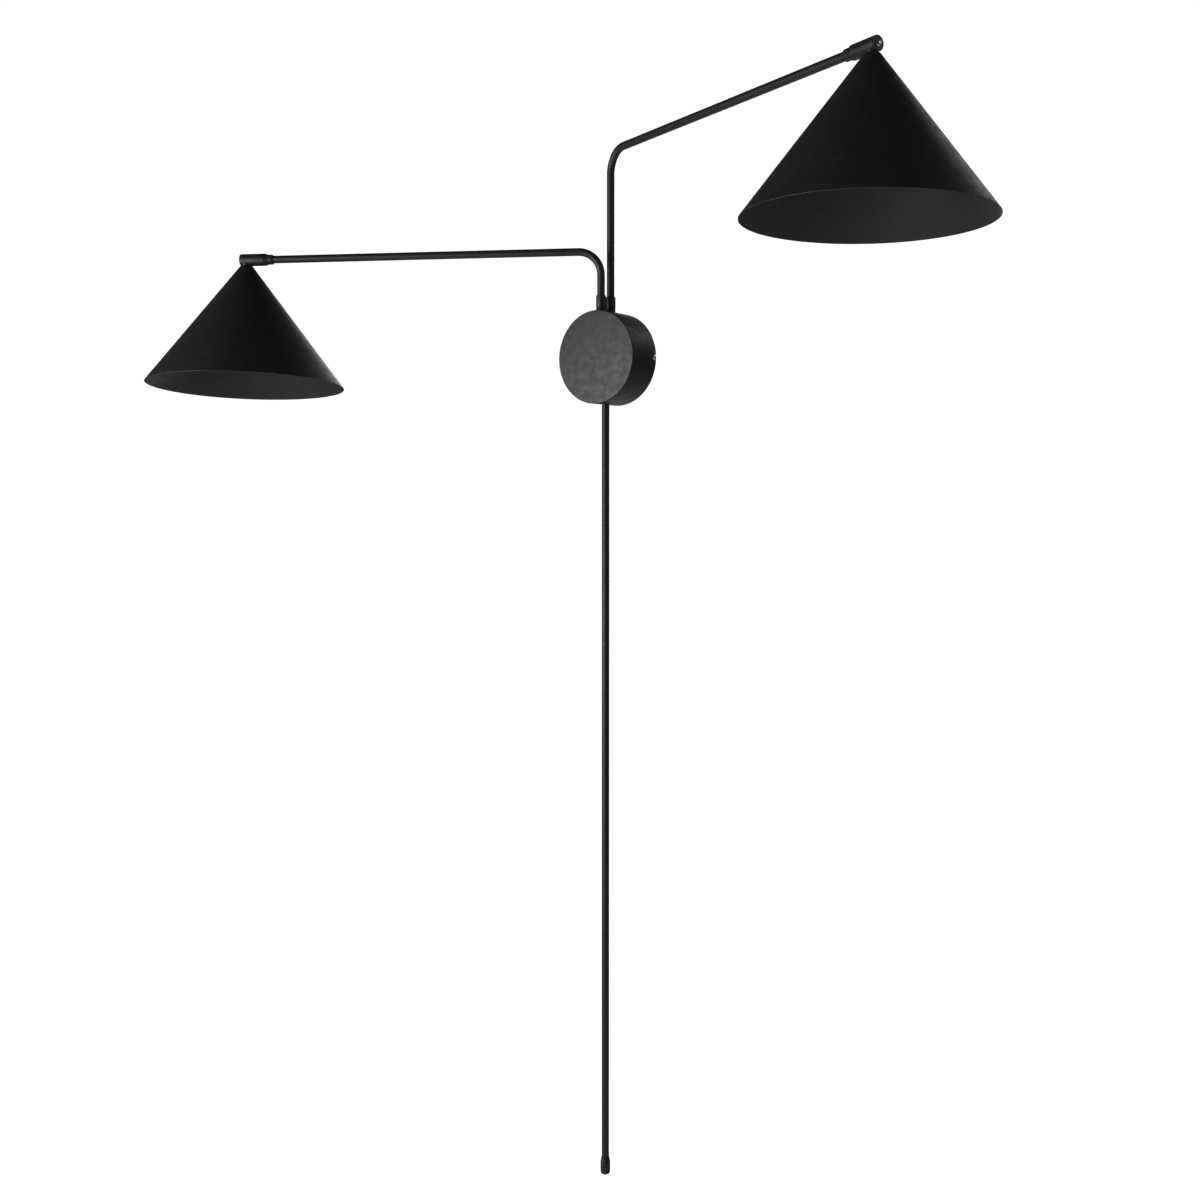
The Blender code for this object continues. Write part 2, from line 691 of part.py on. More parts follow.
def swivel_hardware(arm, swivel, steel):
    """The washers and the lock nut that hold the tube in the bracket and set its friction."""
    bore = TUBE_DIAMETER / 2 + GAP
    top = BRACKET_TOP - BRACKET_THICKNESS - GAP
    bottom = top - THRUST_WASHER_THICKNESS
    washer = turned(f"{arm.name}_thrust_washer",
                    sleeve_profile(THRUST_WASHER_DIAMETER / 2, bore, top, bottom), steel, ring=True)
    place(washer, swivel)
    top = bottom - GAP
    bottom = top - SPRING_WASHER_THICKNESS
    spring = turned(f"{arm.name}_spring_washer",
                    sleeve_profile(SPRING_WASHER_DIAMETER / 2, bore, top, bottom), steel, ring=True)
    place(spring, swivel)
    nut = flat_outline(f"{arm.name}_lock_nut",
                       [hexagon(SWIVEL_NUT_FLATS), circle((0.0, 0.0), 2 * bore, SIDES_ROUND)],
                       SWIVEL_NUT_HEIGHT, steel)
    place(nut, swivel, (0.0, 0.0, nut_bottom() + SWIVEL_NUT_HEIGHT / 2))


def end_collar(arm, tip, paint):
    """The taper ring on the tube's end that the knuckle butts against."""
    far = KNUCKLE_OVERHANG - KNUCKLE_LENGTH - GAP
    near = far - END_COLLAR_LENGTH
    seat = near + END_COLLAR_TUBE_DEPTH + GAP
    spindle_bore = NIPPLE_PITCH_DIAMETER / 2 + GAP
    tube_bore = TUBE_DIAMETER / 2 + GAP
    section = [
        (KNUCKLE_DIAMETER / 2 - KNUCKLE_CHAMFER, far),
        (KNUCKLE_DIAMETER / 2, far - KNUCKLE_CHAMFER),
        (COLLAR_DIAMETER / 2, far - END_COLLAR_TAPER),
        (COLLAR_DIAMETER / 2, near + EDGE_BREAK),
        (COLLAR_DIAMETER / 2 - EDGE_BREAK, near),
        (tube_bore, near),
        (tube_bore, seat),
        (spindle_bore, seat),
        (spindle_bore, far),
    ]
    place(turned(f"{arm.name}_end_collar", section, paint, ring=True), tip, rotation=ALONG_X)


def spindle(arm, tip, steel):
    """The hollow spindle that the knuckle rolls on, slotted below to let the lead drop out."""
    far = KNUCKLE_OVERHANG - KNUCKLE_END_WALL - GAP
    near = arm_end() - ARM_LENGTH - SPINDLE_IN_TUBE
    section = sleeve_profile(NIPPLE_PITCH_DIAMETER / 2, NIPPLE_BORE_DIAMETER / 2, far, near)
    pipe = turned(f"{arm.name}_spindle", section, steel, SIDES_SMALL, ring=True)
    place(pipe, tip, rotation=ALONG_X)
    half = NIPPLE_BORE_DIAMETER / 2 - GAP
    window = block(f"{arm.name}_spindle_window", (-SPINDLE_SLOT_LENGTH, -half, -NIPPLE_PITCH_DIAMETER),
                   (0.0, half, -GAP), collection=CUTTERS)
    place(window, tip)
    combine(pipe, window, "DIFFERENCE")


def arm_lead(arm, swivel, flex):
    reach = ARM_LENGTH - SPINDLE_SLOT_LENGTH - LEAD_FROM_SLOT
    place(wire(f"{arm.name}_arm_lead", bent_line(arm, lead_start_height(), reach), LEAD_DIAMETER, flex),
          swivel)


# ---------------------------------------------------------------- heads

def knuckle(arm, tip, paint):
    """The barrel that rolls on the spindle, with the boss below that the shade and its nipple seat on."""
    outer = KNUCKLE_DIAMETER / 2
    far = KNUCKLE_OVERHANG
    near = far - KNUCKLE_LENGTH
    bore = NIPPLE_PITCH_DIAMETER / 2 + GAP
    screw_bore = MACHINE_SCREW_DIAMETER / 2 + GAP
    floor = far - KNUCKLE_END_WALL
    section = [
        (outer - KNUCKLE_CHAMFER, far),
        (outer, far - KNUCKLE_CHAMFER),
        (outer, near + KNUCKLE_CHAMFER),
        (outer - KNUCKLE_CHAMFER, near),
        (bore, near),
        (bore, floor),
        (screw_bore, floor),
        (screw_bore, far),
    ]
    barrel = turned(f"{arm.name}_knuckle", section, paint, ring=True)
    place(barrel, tip, rotation=ALONG_X)
    boss_height = SHADE_TOP - GAP - KNUCKLE_BOSS_TOP
    boss = drill(f"{arm.name}_boss", KNUCKLE_BOSS_DIAMETER, boss_height,
                 (0.0, 0.0, -KNUCKLE_BOSS_TOP - boss_height / 2), (0.0, 0.0, 0.0), tip)
    combine(barrel, boss, "UNION")
    hole = drill(f"{arm.name}_nipple_hole", HOLDER_NIPPLE_DIAMETER + 2 * GAP, KNUCKLE_DIAMETER,
                 (0.0, 0.0, -KNUCKLE_DIAMETER / 2 - GAP), (0.0, 0.0, 0.0), tip)
    combine(barrel, hole, "DIFFERENCE")


def end_screw(arm, tip, metal):
    screw = dome_screw(f"{arm.name}_end_screw", END_SCREW_HEAD_DIAMETER, END_SCREW_HEAD_HEIGHT,
                       KNUCKLE_END_WALL + END_SCREW_IN_SPINDLE, metal)
    place(screw, tip, (KNUCKLE_OVERHANG + GAP, 0.0, 0.0), ALONG_X)


def shade(arm, tip, paint):
    """The spun cone: a flat top with a hole for the nipple, then straight sides to the rim."""
    hole = HOLDER_NIPPLE_DIAMETER / 2 + GAP
    top = SHADE_TOP_DIAMETER / 2
    rim = SHADE_DIAMETER / 2
    slope = math.atan2(rim - top, SHADE_RIM - SHADE_TOP)
    across = SHADE_SHEET / math.cos(slope)
    inner_top = top + SHADE_SHEET * math.tan(slope) - across
    section = [
        (top, -SHADE_TOP),
        (rim, -SHADE_RIM),
        (rim - across, -SHADE_RIM),
        (inner_top, -SHADE_TOP - SHADE_SHEET),
        (hole, -SHADE_TOP - SHADE_SHEET),
        (hole, -SHADE_TOP),
    ]
    place(turned(f"{arm.name}_shade", section, paint, SIDES_SHADE, ring=True), tip)


def shade_fixing(arm, tip, steel):
    """The hollow nipple from knuckle to lampholder, and the nut that clamps the shade on it."""
    outer = HOLDER_NIPPLE_DIAMETER / 2
    bottom = HOLDER_TOP + HOLDER_THREAD_DEPTH - GAP
    section = sleeve_profile(outer, HOLDER_NIPPLE_BORE / 2, -HOLDER_NIPPLE_TOP, -bottom)
    place(turned(f"{arm.name}_shade_nipple", section, steel, SIDES_SMALL, ring=True), tip)
    nut = flat_outline(f"{arm.name}_shade_nut",
                       [hexagon(SHADE_NUT_FLATS), circle((0.0, 0.0), 2 * (outer + GAP), SIDES_SMALL)],
                       SHADE_NUT_HEIGHT, steel)
    place(nut, tip, (0.0, 0.0, -SHADE_TOP - SHADE_SHEET - GAP - SHADE_NUT_HEIGHT / 2))


def lampholder(arm, tip, plastic):
    """A plain screw lampholder: a domed cap that the nipple enters and an open socket below."""
    outer = HOLDER_DIAMETER / 2
    neck = HOLDER_NECK_DIAMETER / 2
    drop = HOLDER_SHOULDER - HOLDER_TOP
    dome = [
        (neck + (outer - neck) * math.sin(math.radians(a)),
         -HOLDER_SHOULDER + drop * math.cos(math.radians(a)))
        for a in range(0, 91, HOLDER_DOME_STEP)
    ]
    thread = HOLDER_NIPPLE_DIAMETER / 2 + GAP
    thread_end = -HOLDER_TOP - HOLDER_THREAD_DEPTH
    socket = HOLDER_SOCKET_DIAMETER / 2
    wire_hole = LEAD_DIAMETER / 2 + GAP
    section = dome + [
        (outer, -HOLDER_BOTTOM),
        (socket, -HOLDER_BOTTOM),
        (socket, -HOLDER_SOCKET_TOP),
        (wire_hole, -HOLDER_SOCKET_TOP),
        (wire_hole, thread_end),
        (thread, thread_end),
        (thread, -HOLDER_TOP),
    ]
    place(turned(f"{arm.name}_lampholder", section, plastic, ring=True), tip)


def bulb(arm, tip, metal, glass):
    """A short round bulb: its screw cap in the socket and its globe below."""
    base = BULB_BASE_DIAMETER / 2
    contact = BULB_CONTACT_DIAMETER / 2
    tip_height = -BULB_BASE_TOP + BULB_CONTACT_HEIGHT
    section = [
        (0.0, tip_height),
        (contact, tip_height),
        (contact, -BULB_BASE_TOP),
        (base, -BULB_BASE_TOP - BULB_BASE_TAPER),
        (base, -BULB_BASE_BOTTOM),
        (0.0, -BULB_BASE_BOTTOM),
    ]
    place(turned(f"{arm.name}_bulb_base", section, metal, SIDES_SMALL), tip)
    radius = BULB_GLOBE_DIAMETER / 2
    neck = BULB_NECK_DIAMETER / 2
    meeting = math.degrees(math.acos(neck * BULB_SHOULDER_SHARE / radius))
    globe = arc((0.0, -BULB_GLOBE_CENTRE), radius, meeting, -90.0, 10)
    top = -BULB_BASE_BOTTOM - GAP
    section = [(0.0, top), (neck, top), (neck, top - BULB_NECK_LENGTH)] + globe[:-1] + [(0.0, globe[-1][1])]
    place(turned(f"{arm.name}_bulb_globe", section, glass), tip)


def drop_lead(arm, tip, flex):
    top = -HOLDER_NIPPLE_TOP - GAP
    bottom = -HOLDER_SOCKET_TOP + LEAD_ABOVE_SOCKET
    place(wire(f"{arm.name}_drop_lead", [(0.0, 0.0, top), (0.0, 0.0, bottom)], LEAD_DIAMETER, flex), tip)


# ---------------------------------------------------------------- assembly

def build_wall_box(paint, steel, nickel, brass, nylon, flex):
    wall_plate(steel)
    box_cover(paint)
    side_screws(nickel)
    swivel_bracket(steel)
    base_rings(paint)
    terminal_block(nylon)
    terminal_screws(brass)
    earth_terminal(brass)
    box_leads(flex)


def build_arm(arm, paint, steel, flex):
    swivel = frame_empty(f"{arm.name}_swivel_axis", (0.0, -arm.from_wall, 0.0), (0.0, 0.0, arm.heading))
    tip = frame_empty(f"{arm.name}_spindle_axis", (ARM_LENGTH, 0.0, arm.height), (0.0, 0.0, 0.0), swivel)
    arm_tube(arm, swivel, paint)
    swivel_collar(arm, swivel, paint)
    swivel_hardware(arm, swivel, steel)
    arm_lead(arm, swivel, flex)
    end_collar(arm, tip, paint)
    spindle(arm, tip, steel)
    return swivel


def build_head(arm, swivel, paint, steel, nickel, plastic, glass, flex):
    roll = frame_empty(f"{arm.name}_roll_axis", (ARM_LENGTH, 0.0, arm.height), (arm.roll, 0.0, 0.0), swivel)
    knuckle(arm, roll, paint)
    end_screw(arm, roll, nickel)
    shade(arm, roll, paint)
    shade_fixing(arm, roll, steel)
    lampholder(arm, roll, plastic)
    bulb(arm, roll, nickel, glass)
    drop_lead(arm, roll, flex)


def main():
    clear_scene()
    paint = powder_coat_black()
    steel = zinc_plated_steel()
    nickel = nickel_plated_steel()
    flex = black_flex()
    plastic = black_thermoplastic()
    glass = opal_glass()
    build_wall_box(paint, steel, nickel, turned_brass(), white_nylon(), flex)
    rod(paint, steel)
    for arm in ARMS:
        swivel = build_arm(arm, paint, steel, flex)
        build_head(arm, swivel, paint, steel, nickel, plastic, glass, flex)


main()
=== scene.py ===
"""Looks of the swing arm wall sconce: finer meshes, finishes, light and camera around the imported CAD."""

import json
import math
from collections import namedtuple

import bmesh
import bpy
from mathutils import Matrix, Vector


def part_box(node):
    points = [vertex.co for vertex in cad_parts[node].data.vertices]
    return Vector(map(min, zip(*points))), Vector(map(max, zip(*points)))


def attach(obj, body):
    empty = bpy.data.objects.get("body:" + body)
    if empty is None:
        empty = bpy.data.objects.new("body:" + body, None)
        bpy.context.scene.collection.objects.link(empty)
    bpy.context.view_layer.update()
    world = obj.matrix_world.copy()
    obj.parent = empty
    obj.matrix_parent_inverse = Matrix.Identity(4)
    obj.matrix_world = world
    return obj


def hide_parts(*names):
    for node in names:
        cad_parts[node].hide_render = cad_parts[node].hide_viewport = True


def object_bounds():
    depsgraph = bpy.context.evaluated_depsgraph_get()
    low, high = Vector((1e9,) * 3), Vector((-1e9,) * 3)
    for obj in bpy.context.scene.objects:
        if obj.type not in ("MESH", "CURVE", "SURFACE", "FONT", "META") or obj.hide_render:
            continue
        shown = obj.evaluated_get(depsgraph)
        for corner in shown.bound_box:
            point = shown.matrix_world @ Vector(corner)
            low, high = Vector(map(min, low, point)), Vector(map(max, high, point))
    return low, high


bl_info = {
    "name": "Swing Arm Wall Sconce",
    "version": (1, 0, 0),
    "blender": (4, 5, 0),
    "location": "3D View > Sidebar > Sconce",
    "description": "Builds the visible pieces, the finishes and the stage of a swing arm wall sconce",
    "category": "Object",
}

MM = 0.001
UP = Vector((0.0, 0.0, 1.0))
FRONT = Vector((0.0, -1.0, 0.0))
RIGHT = Vector((1.0, 0.0, 0.0))
SHARP_ANGLE = math.radians(32.0)
ON_AXIS = 1e-7              # a radius below this is a pole

# Reading the CAD: vertices this close to an end belong to it, and radii this close are the same.
NEAR_END = 0.1 * MM
SAME = 0.05 * MM

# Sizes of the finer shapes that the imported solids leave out.
PLAY = 0.3 * MM             # room round a screw or nipple in its hole
SEAM_BREAK = 0.45 * MM      # rounding on both sides of a seam between two turned pieces
RING_GROOVE_DROP = 2.0 * MM
COLLAR_CHAMFER = 1.0 * MM
COVER_CROWN = 1.1 * MM
COVER_EDGE = 0.3 * MM
COVER_INNER_CORNER = 0.8 * MM
COVER_SCREW_RADIUS = 2.0 * MM
BARREL_CHAMFER = 0.5 * MM
BARREL_ROUNDING = 0.15 * MM
BOSS_ROOT = 4.5 * MM        # how far below the arm's axis the boss starts inside the barrel
SHADE_CROWN = 1.2 * MM
SHADE_INNER_CORNER = 0.6 * MM
SHADE_EDGE_SHARE = 0.42     # rounding of the rim as a share of the sheet
HOLDER_JOINT_DROP = 12.0 * MM
HOLDER_GROOVE = 0.5 * MM
HOLDER_RING_PITCH = 2.6 * MM
HOLDER_RINGS = 6
HOLDER_FOOT = 0.6 * MM
CAP_THREAD_PITCH = 2.8 * MM
CAP_THREAD_DEPTH = 0.55 * MM
CAP_THREAD_TURNS = 6
FOOT_ROUNDING = 3.0 * MM
SCREW_RIM_SHARE = 0.22      # straight rim of a dome head as a share of its height
WELD = 0.005 * MM           # vertices closer than this after a boolean are one

# Each soft box: name, place in metres, width and height in metres, power in watts.
LIGHTS = (
    ("soft_key", (-1.0, -2.2, -0.3), (1.4, 1.4), 50.0),
    ("soft_back", (-1.2, 2.3, 0.5), (2.2, 1.2), 19.0),
    ("soft_back_right", (0.7, 2.2, 1.3), (0.9, 0.9), 4.0),
    ("soft_low", (-1.0, 1.95, -1.0), (2.0, 1.0), 2.0),
    ("strip_right", (2.05, 0.45, 0.7), (0.5, 1.4), 3.5),
)

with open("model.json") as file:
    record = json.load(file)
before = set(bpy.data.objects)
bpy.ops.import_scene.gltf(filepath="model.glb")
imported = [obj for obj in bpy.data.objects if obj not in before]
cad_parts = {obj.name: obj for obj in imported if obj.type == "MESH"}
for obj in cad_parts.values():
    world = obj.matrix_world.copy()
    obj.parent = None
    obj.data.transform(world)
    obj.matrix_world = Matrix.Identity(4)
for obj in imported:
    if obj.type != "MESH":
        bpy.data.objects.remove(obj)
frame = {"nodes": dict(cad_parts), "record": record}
cad_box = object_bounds()
JOINTS = {joint["name"]: joint for joint in frame["record"]["behaviour"]["joints"]}
ARMS = ("short", "long")

Span = namedtuple("Span", "outer inner low high")


# ---------------------------------------------------------------- colour and nodes

def linear(code):
    """An sRGB hex colour as linear values with full alpha."""
    parts = [int(code[i:i + 2], 16) / 255.0 for i in (1, 3, 5)]
    return tuple(c / 12.92 if c <= 0.04045 else ((c + 0.055) / 1.055) ** 2.4 for c in parts) + (1.0,)


def add(tree, kind, values=None, **settings):
    """Add a node, set its settings, and fill its inputs with constants or links."""
    node = tree.nodes.new(kind)
    for name, value in settings.items():
        setattr(node, name, value)
    for name, value in (values or {}).items():
        if isinstance(value, bpy.types.NodeSocket):
            tree.links.new(value, node.inputs[name])
        else:
            node.inputs[name].default_value = value
    return node


def blank(name):
    """A new node material with only its shader and output, and the object's own coordinates."""
    material = bpy.data.materials.new(name)
    material.use_nodes = True
    tree = material.node_tree
    return material, tree, tree.nodes["Principled BSDF"], add(tree, "ShaderNodeTexCoord").outputs["Object"]


# ---------------------------------------------------------------- finishes

class Finish:
    """A plain finish: a noise pattern of one real size that mixes two colours and varies the gloss."""

    def __init__(self, name, colours, size, gloss, detail=2.0, bump=0.0, **shader):
        self.name = name
        self.colours = colours      # two sRGB colours
        self.size = size            # pattern size in metres
        self.gloss = gloss          # lowest and highest roughness
        self.detail = detail
        self.bump = bump            # height of the pattern in metres
        self.shader = shader        # constants for the shader's own inputs

    def make(self, settings):
        material, tree, shader, position = blank(self.name)
        pattern = add(tree, "ShaderNodeTexNoise", {
            "Vector": position, "Scale": 1.0 / self.size, "Detail": self.detail}).outputs["Fac"]
        spread = add(tree, "ShaderNodeMapRange", {
            "Value": pattern, "From Min": 0.35, "From Max": 0.65,
            "To Min": self.gloss[0], "To Max": self.gloss[1]}).outputs["Result"]
        colour = add(tree, "ShaderNodeMix", {
            0: pattern, 6: linear(self.colours[0]), 7: linear(self.colours[1])}, data_type="RGBA").outputs[2]
        tree.links.new(colour, shader.inputs["Base Color"])
        tree.links.new(spread, shader.inputs["Roughness"])
        if self.bump:
            skin = add(tree, "ShaderNodeBump", {"Height": pattern, "Distance": self.bump, "Strength": 0.5})
            tree.links.new(skin.outputs["Normal"], shader.inputs["Normal"])
        for name, value in self.shader.items():
            shader.inputs[name.replace("_", " ")].default_value = value
        return material


class PowderCoat:
    """Black polyester powder coat, sprayed and baked on steel.

    It gives a satin black whose fine grit and slow orange peel break up what it reflects, with a few
    paler grains that are partly the grit's own tone and partly painted glints of grit catching the
    light. The real grit is about 0.3 mm across and is drawn at settings.grit, so that it shows at
    this distance. The orange peel has its real size.
    """

    def make(self, settings):
        material, tree, shader, position = blank("powder_coat_black")
        grit = add(tree, "ShaderNodeTexNoise", {
            "Vector": position, "Scale": 1.0 / settings.grit, "Detail": 3.0, "Roughness": 0.6}).outputs["Fac"]
        peel = add(tree, "ShaderNodeTexNoise", {
            "Vector": position, "Scale": 1.0 / settings.peel, "Detail": 2.0}).outputs["Fac"]
        cloud = add(tree, "ShaderNodeTexNoise", {
            "Vector": position, "Scale": 1.0 / (30.0 * MM), "Detail": 2.0}).outputs["Fac"]
        body = add(tree, "ShaderNodeMix", {
            0: cloud, 6: tuple(settings.paint), 7: linear("#121215")}, data_type="RGBA").outputs[2]
        # Paler grains: partly the powder's own tone, partly painted glints of grit catching the light.
        grit_and_glints = add(tree, "ShaderNodeMapRange", {
            "Value": grit, "From Min": 0.54, "From Max": 0.72}).outputs["Result"]
        colour = add(tree, "ShaderNodeMix", {
            0: grit_and_glints, 6: body, 7: linear("#2A2A2E")}, data_type="RGBA").outputs[2]
        spread = add(tree, "ShaderNodeMapRange", {
            "Value": peel, "From Min": 0.35, "From Max": 0.65,
            "To Min": settings.paint_roughness - 0.05,
            "To Max": settings.paint_roughness + 0.05}).outputs["Result"]
        waves = add(tree, "ShaderNodeBump", {
            "Height": peel, "Distance": 0.15 * MM, "Strength": 0.25}).outputs["Normal"]
        skin = add(tree, "ShaderNodeBump", {
            "Height": grit, "Distance": 0.08 * MM, "Strength": 0.5, "Normal": waves}).outputs["Normal"]
        tree.links.new(colour, shader.inputs["Base Color"])
        tree.links.new(spread, shader.inputs["Roughness"])
        tree.links.new(skin, shader.inputs["Normal"])
        shader.inputs["IOR"].default_value = 1.5
        return material


class TurnedBrass:
    """Brass turned on a lathe: yellow metal with fine tool rings, drawn 0.8 mm apart."""

    def make(self, settings):
        material, tree, shader, position = blank("turned_brass")
        rings = add(tree, "ShaderNodeTexWave", {
            "Vector": position, "Scale": 1.0 / (0.8 * MM), "Distortion": 1.0},
            wave_type="BANDS", bands_direction="Z").outputs["Fac"]
        colour = add(tree, "ShaderNodeMix", {
            0: rings, 6: linear("#C9A25B"), 7: linear("#B98F49")}, data_type="RGBA").outputs[2]
        spread = add(tree, "ShaderNodeMapRange", {
            "Value": rings, "To Min": 0.20, "To Max": 0.34}).outputs["Result"]
        tree.links.new(colour, shader.inputs["Base Color"])
        tree.links.new(spread, shader.inputs["Roughness"])
        shader.inputs["Metallic"].default_value = 1.0
        return material


FINISHES = {
    "powder_coat_black": PowderCoat(),
    "turned_brass": TurnedBrass(),
    # Pressed steel with bright zinc: pale grey metal with soft cloudy patches.
    "zinc_plated_steel": Finish("zinc_plated_steel", ("#A9ABAD", "#C6C8C8"), 9.0 * MM, (0.28, 0.42),
                                detail=6.0, bump=0.02 * MM, Metallic=1.0),
    # Cold headed steel screws, bright nickel: dark all round one small bright highlight.
    "nickel_plated_steel": Finish("nickel_plated_steel", ("#D9D4CB", "#C9C5BE"), 1.6 * MM, (0.05, 0.11),
                                  detail=3.0, Metallic=1.0),
    # Moulded black PBT: a dry black with the fine spark-eroded texture of its mould.
    "black_thermoplastic": Finish("black_thermoplastic", ("#1A1A1B", "#232324"), 0.9 * MM, (0.46, 0.60),
                                  detail=3.0, bump=0.03 * MM, IOR=1.57),
    # Moulded natural nylon: a waxy off-white that lets a little light in.
    "white_nylon": Finish("natural_nylon", ("#E6E2D6", "#DAD5C6"), 6.0 * MM, (0.38, 0.50),
                          IOR=1.53, Subsurface_Weight=0.15, Subsurface_Scale=1.5 * MM),
    # Extruded black PVC sheath: dull, a little dusty.
    "black_flex": Finish("pvc_flex", ("#202021", "#2C2C2D"), 2.5 * MM, (0.50, 0.66),
                         detail=4.0, bump=0.02 * MM, IOR=1.53),
    # Blown opal glass, flashed white on the inside: a milky body under a clear glossy skin.
    "opal_glass": Finish("opal_glass", ("#F5F3EE", "#ECE9E2"), 14.0 * MM, (0.08, 0.16),
                         detail=1.0, IOR=1.52, Subsurface_Weight=0.35, Subsurface_Scale=4.0 * MM),
}
made_finishes = {}


def finish_of(slot, settings):
    """The material for one of the record's slots, made once."""
    if slot not in made_finishes:
        made_finishes[slot] = FINISHES[slot].make(settings)
    return made_finishes[slot]


SLOT_OF = {part["node"]: part["material_slot"] for part in frame["record"]["subparts"]}
BODY_OF = {node: body for body, nodes in frame["record"]["behaviour"]["bodies"].items() for node in nodes}


def dress(settings, *nodes):
    """Give CAD nodes whose shape is already right their real finish."""
    for name in nodes:
        data = frame["nodes"][name].data
        data.materials.clear()
        data.materials.append(finish_of(SLOT_OF[name], settings))


def settle(item, settings, *nodes):
    """A finished piece takes the place, body and finish of the CAD nodes it stands for."""
    lead = nodes[0]
    item.data.materials.append(finish_of(SLOT_OF[lead], settings))
    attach(item, BODY_OF[lead])
    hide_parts(*nodes)
    return item


# ---------------------------------------------------------------- places and measures

def placing(origin, along, sideways=None):
    """A matrix whose Z axis runs along a direction and whose origin is a point."""
    z = along.normalized()
    x = sideways.normalized() if sideways else (RIGHT if abs(z.dot(RIGHT)) < 0.9 else UP)
    y = z.cross(x).normalized()
    x = y.cross(z)
    turn = Matrix((x, y, z)).transposed().to_4x4()
    return Matrix.Translation(origin) @ turn


def middle(node):
    low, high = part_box(node)
    return (Vector(low) + Vector(high)) / 2


def measure(node, place):
    """A turned CAD node's radii and ends, about the Z axis of a placing matrix."""
    inverse = place.inverted()
    points = [inverse @ vertex.co for vertex in frame["nodes"][node].data.vertices]
    radii = [math.hypot(point.x, point.y) for point in points]
    heights = [point.z for point in points]
    return Span(max(radii), min(radii), min(heights), max(heights))


def swivel_place(arm):
    """Upright axis of an arm, with its origin level with the box's middle."""
    at = JOINTS[f"{arm}_swing"]["pos_m"]
    return placing(Vector((at[0], at[1], 0.0)), UP, arm_direction(arm))


def tip_point(arm):
    return Vector(JOINTS[f"{arm}_roll"]["pos_m"])


def arm_direction(arm):
    reach = tip_point(arm) - Vector(JOINTS[f"{arm}_swing"]["pos_m"])
    reach.z = 0.0
    return reach.normalized()


def knuckle_place(arm):
    """The arm's own axis, with its origin over the shade and Z pointing outwards."""
    return placing(tip_point(arm), arm_direction(arm), UP)


def shade_place(arm):
    """The shade's axis, with its origin on the arm's axis and Z pointing up."""
    return placing(tip_point(arm), tip_point(arm) - middle(f"{arm}_drop_lead"), arm_direction(arm))


BOX_PLACE = placing(Vector((0.0, 0.0, 0.0)), FRONT, RIGHT)


def rod_place():
    centre = middle("rod_tube")
    return placing(Vector((centre.x, centre.y, 0.0)), UP)


# ---------------------------------------------------------------- mesh making

def arc(centre, radius, start, end, steps):
    """Points on a circle between two angles in degrees, both ends included."""
    angles = [math.radians(start + (end - start) * i / steps) for i in range(steps + 1)]
    return [(centre[0] + radius * math.cos(a), centre[1] + radius * math.sin(a)) for a in angles]


def eased(corners, closed=True, steps=4):
    """Round the corners of an outline. Each corner is (radius from axis, height, rounding)."""
    outline = []
    count = len(corners)
    for i, (x, y, ease) in enumerate(corners):
        here = Vector((x, y))
        if not ease or (not closed and i in (0, count - 1)):
            outline.append((x, y))
            continue
        before = (Vector(corners[i - 1][:2]) - here).normalized()
        after = (Vector(corners[(i + 1) % count][:2]) - here).normalized()
        half = before.angle(after) / 2
        reach = ease / math.tan(half)
        start, end = here + before * reach, here + after * reach
        centre = here + (before + after).normalized() * (ease / math.sin(half))
        first, last = start - centre, end - centre
        turn = first.angle_signed(last)
        for k in range(steps + 1):
            spoke = first.copy()
            spoke.rotate(Matrix.Rotation(-turn * k / steps, 2))
            outline.append(tuple(centre + spoke))
    return outline


def turn(name, outline, place, sides, closed=True, warp=None):
    """Spin an outline of (radius, height) points round Z into a mesh. Points on the axis make poles."""
    work = bmesh.new()
    rings = []
    for radius, height in outline:
        if radius < ON_AXIS:
            rings.append([work.verts.new((0.0, 0.0, height))])
            continue
        ring = []
        for k in range(sides):
            angle = math.tau * k / sides
            point = Vector((radius * math.cos(angle), radius * math.sin(angle), height))
            ring.append(work.verts.new(warp(point) if warp else point))
        rings.append(ring)
    pairs = list(zip(rings, rings[1:] + rings[:1])) if closed else list(zip(rings, rings[1:]))
    for upper, lower in pairs:
        skin_between(work, upper, lower, sides)
    return as_object(name, work, place)


def skin_between(work, upper, lower, sides):
    """Faces between two rings, or between a ring and a pole."""
    if len(upper) == 1 and len(lower) == 1:
        return
    for k in range(sides):
        n = (k + 1) % sides
        corners = [upper[k % len(upper)], lower[k % len(lower)]]
        if len(lower) > 1:
            corners.append(lower[n])
        if len(upper) > 1:
            corners.append(upper[n])
        work.faces.new(corners)


def pipe(name, stations, outer, inner, place, sides):
    """A hollow tube through stations of (point, direction), open at both ends."""
    work = bmesh.new()
    rings = []
    for radius in (outer, inner):
        row = []
        for point, direction in stations:
            side = Vector((0.0, 1.0, 0.0))
            over = direction.cross(side)
            spokes = [math.tau * k / sides for k in range(sides)]
            row.append([
                work.verts.new(point + radius * (math.cos(a) * side + math.sin(a) * over)) for a in spokes])
        rings.append(row)
    loop = rings[0] + rings[1][::-1]
    for upper, lower in zip(loop, loop[1:] + loop[:1]):
        skin_between(work, upper, lower, sides)
    return as_object(name, work, place)


def as_object(name, work, place):
    """Turn a bmesh into a shaded object, with its place in its mesh."""
    bmesh.ops.recalc_face_normals(work, faces=work.faces)
    if work.calc_volume(signed=True) < 0.0:
        bmesh.ops.reverse_faces(work, faces=work.faces)
    mesh = bpy.data.meshes.new(name)
    work.to_mesh(mesh)
    work.free()
    mesh.transform(place)
    mesh.shade_smooth()
    mesh.set_sharp_from_angle(angle=SHARP_ANGLE)
    item = bpy.data.objects.new(name, mesh)
    bpy.context.scene.collection.objects.link(item)
    return item


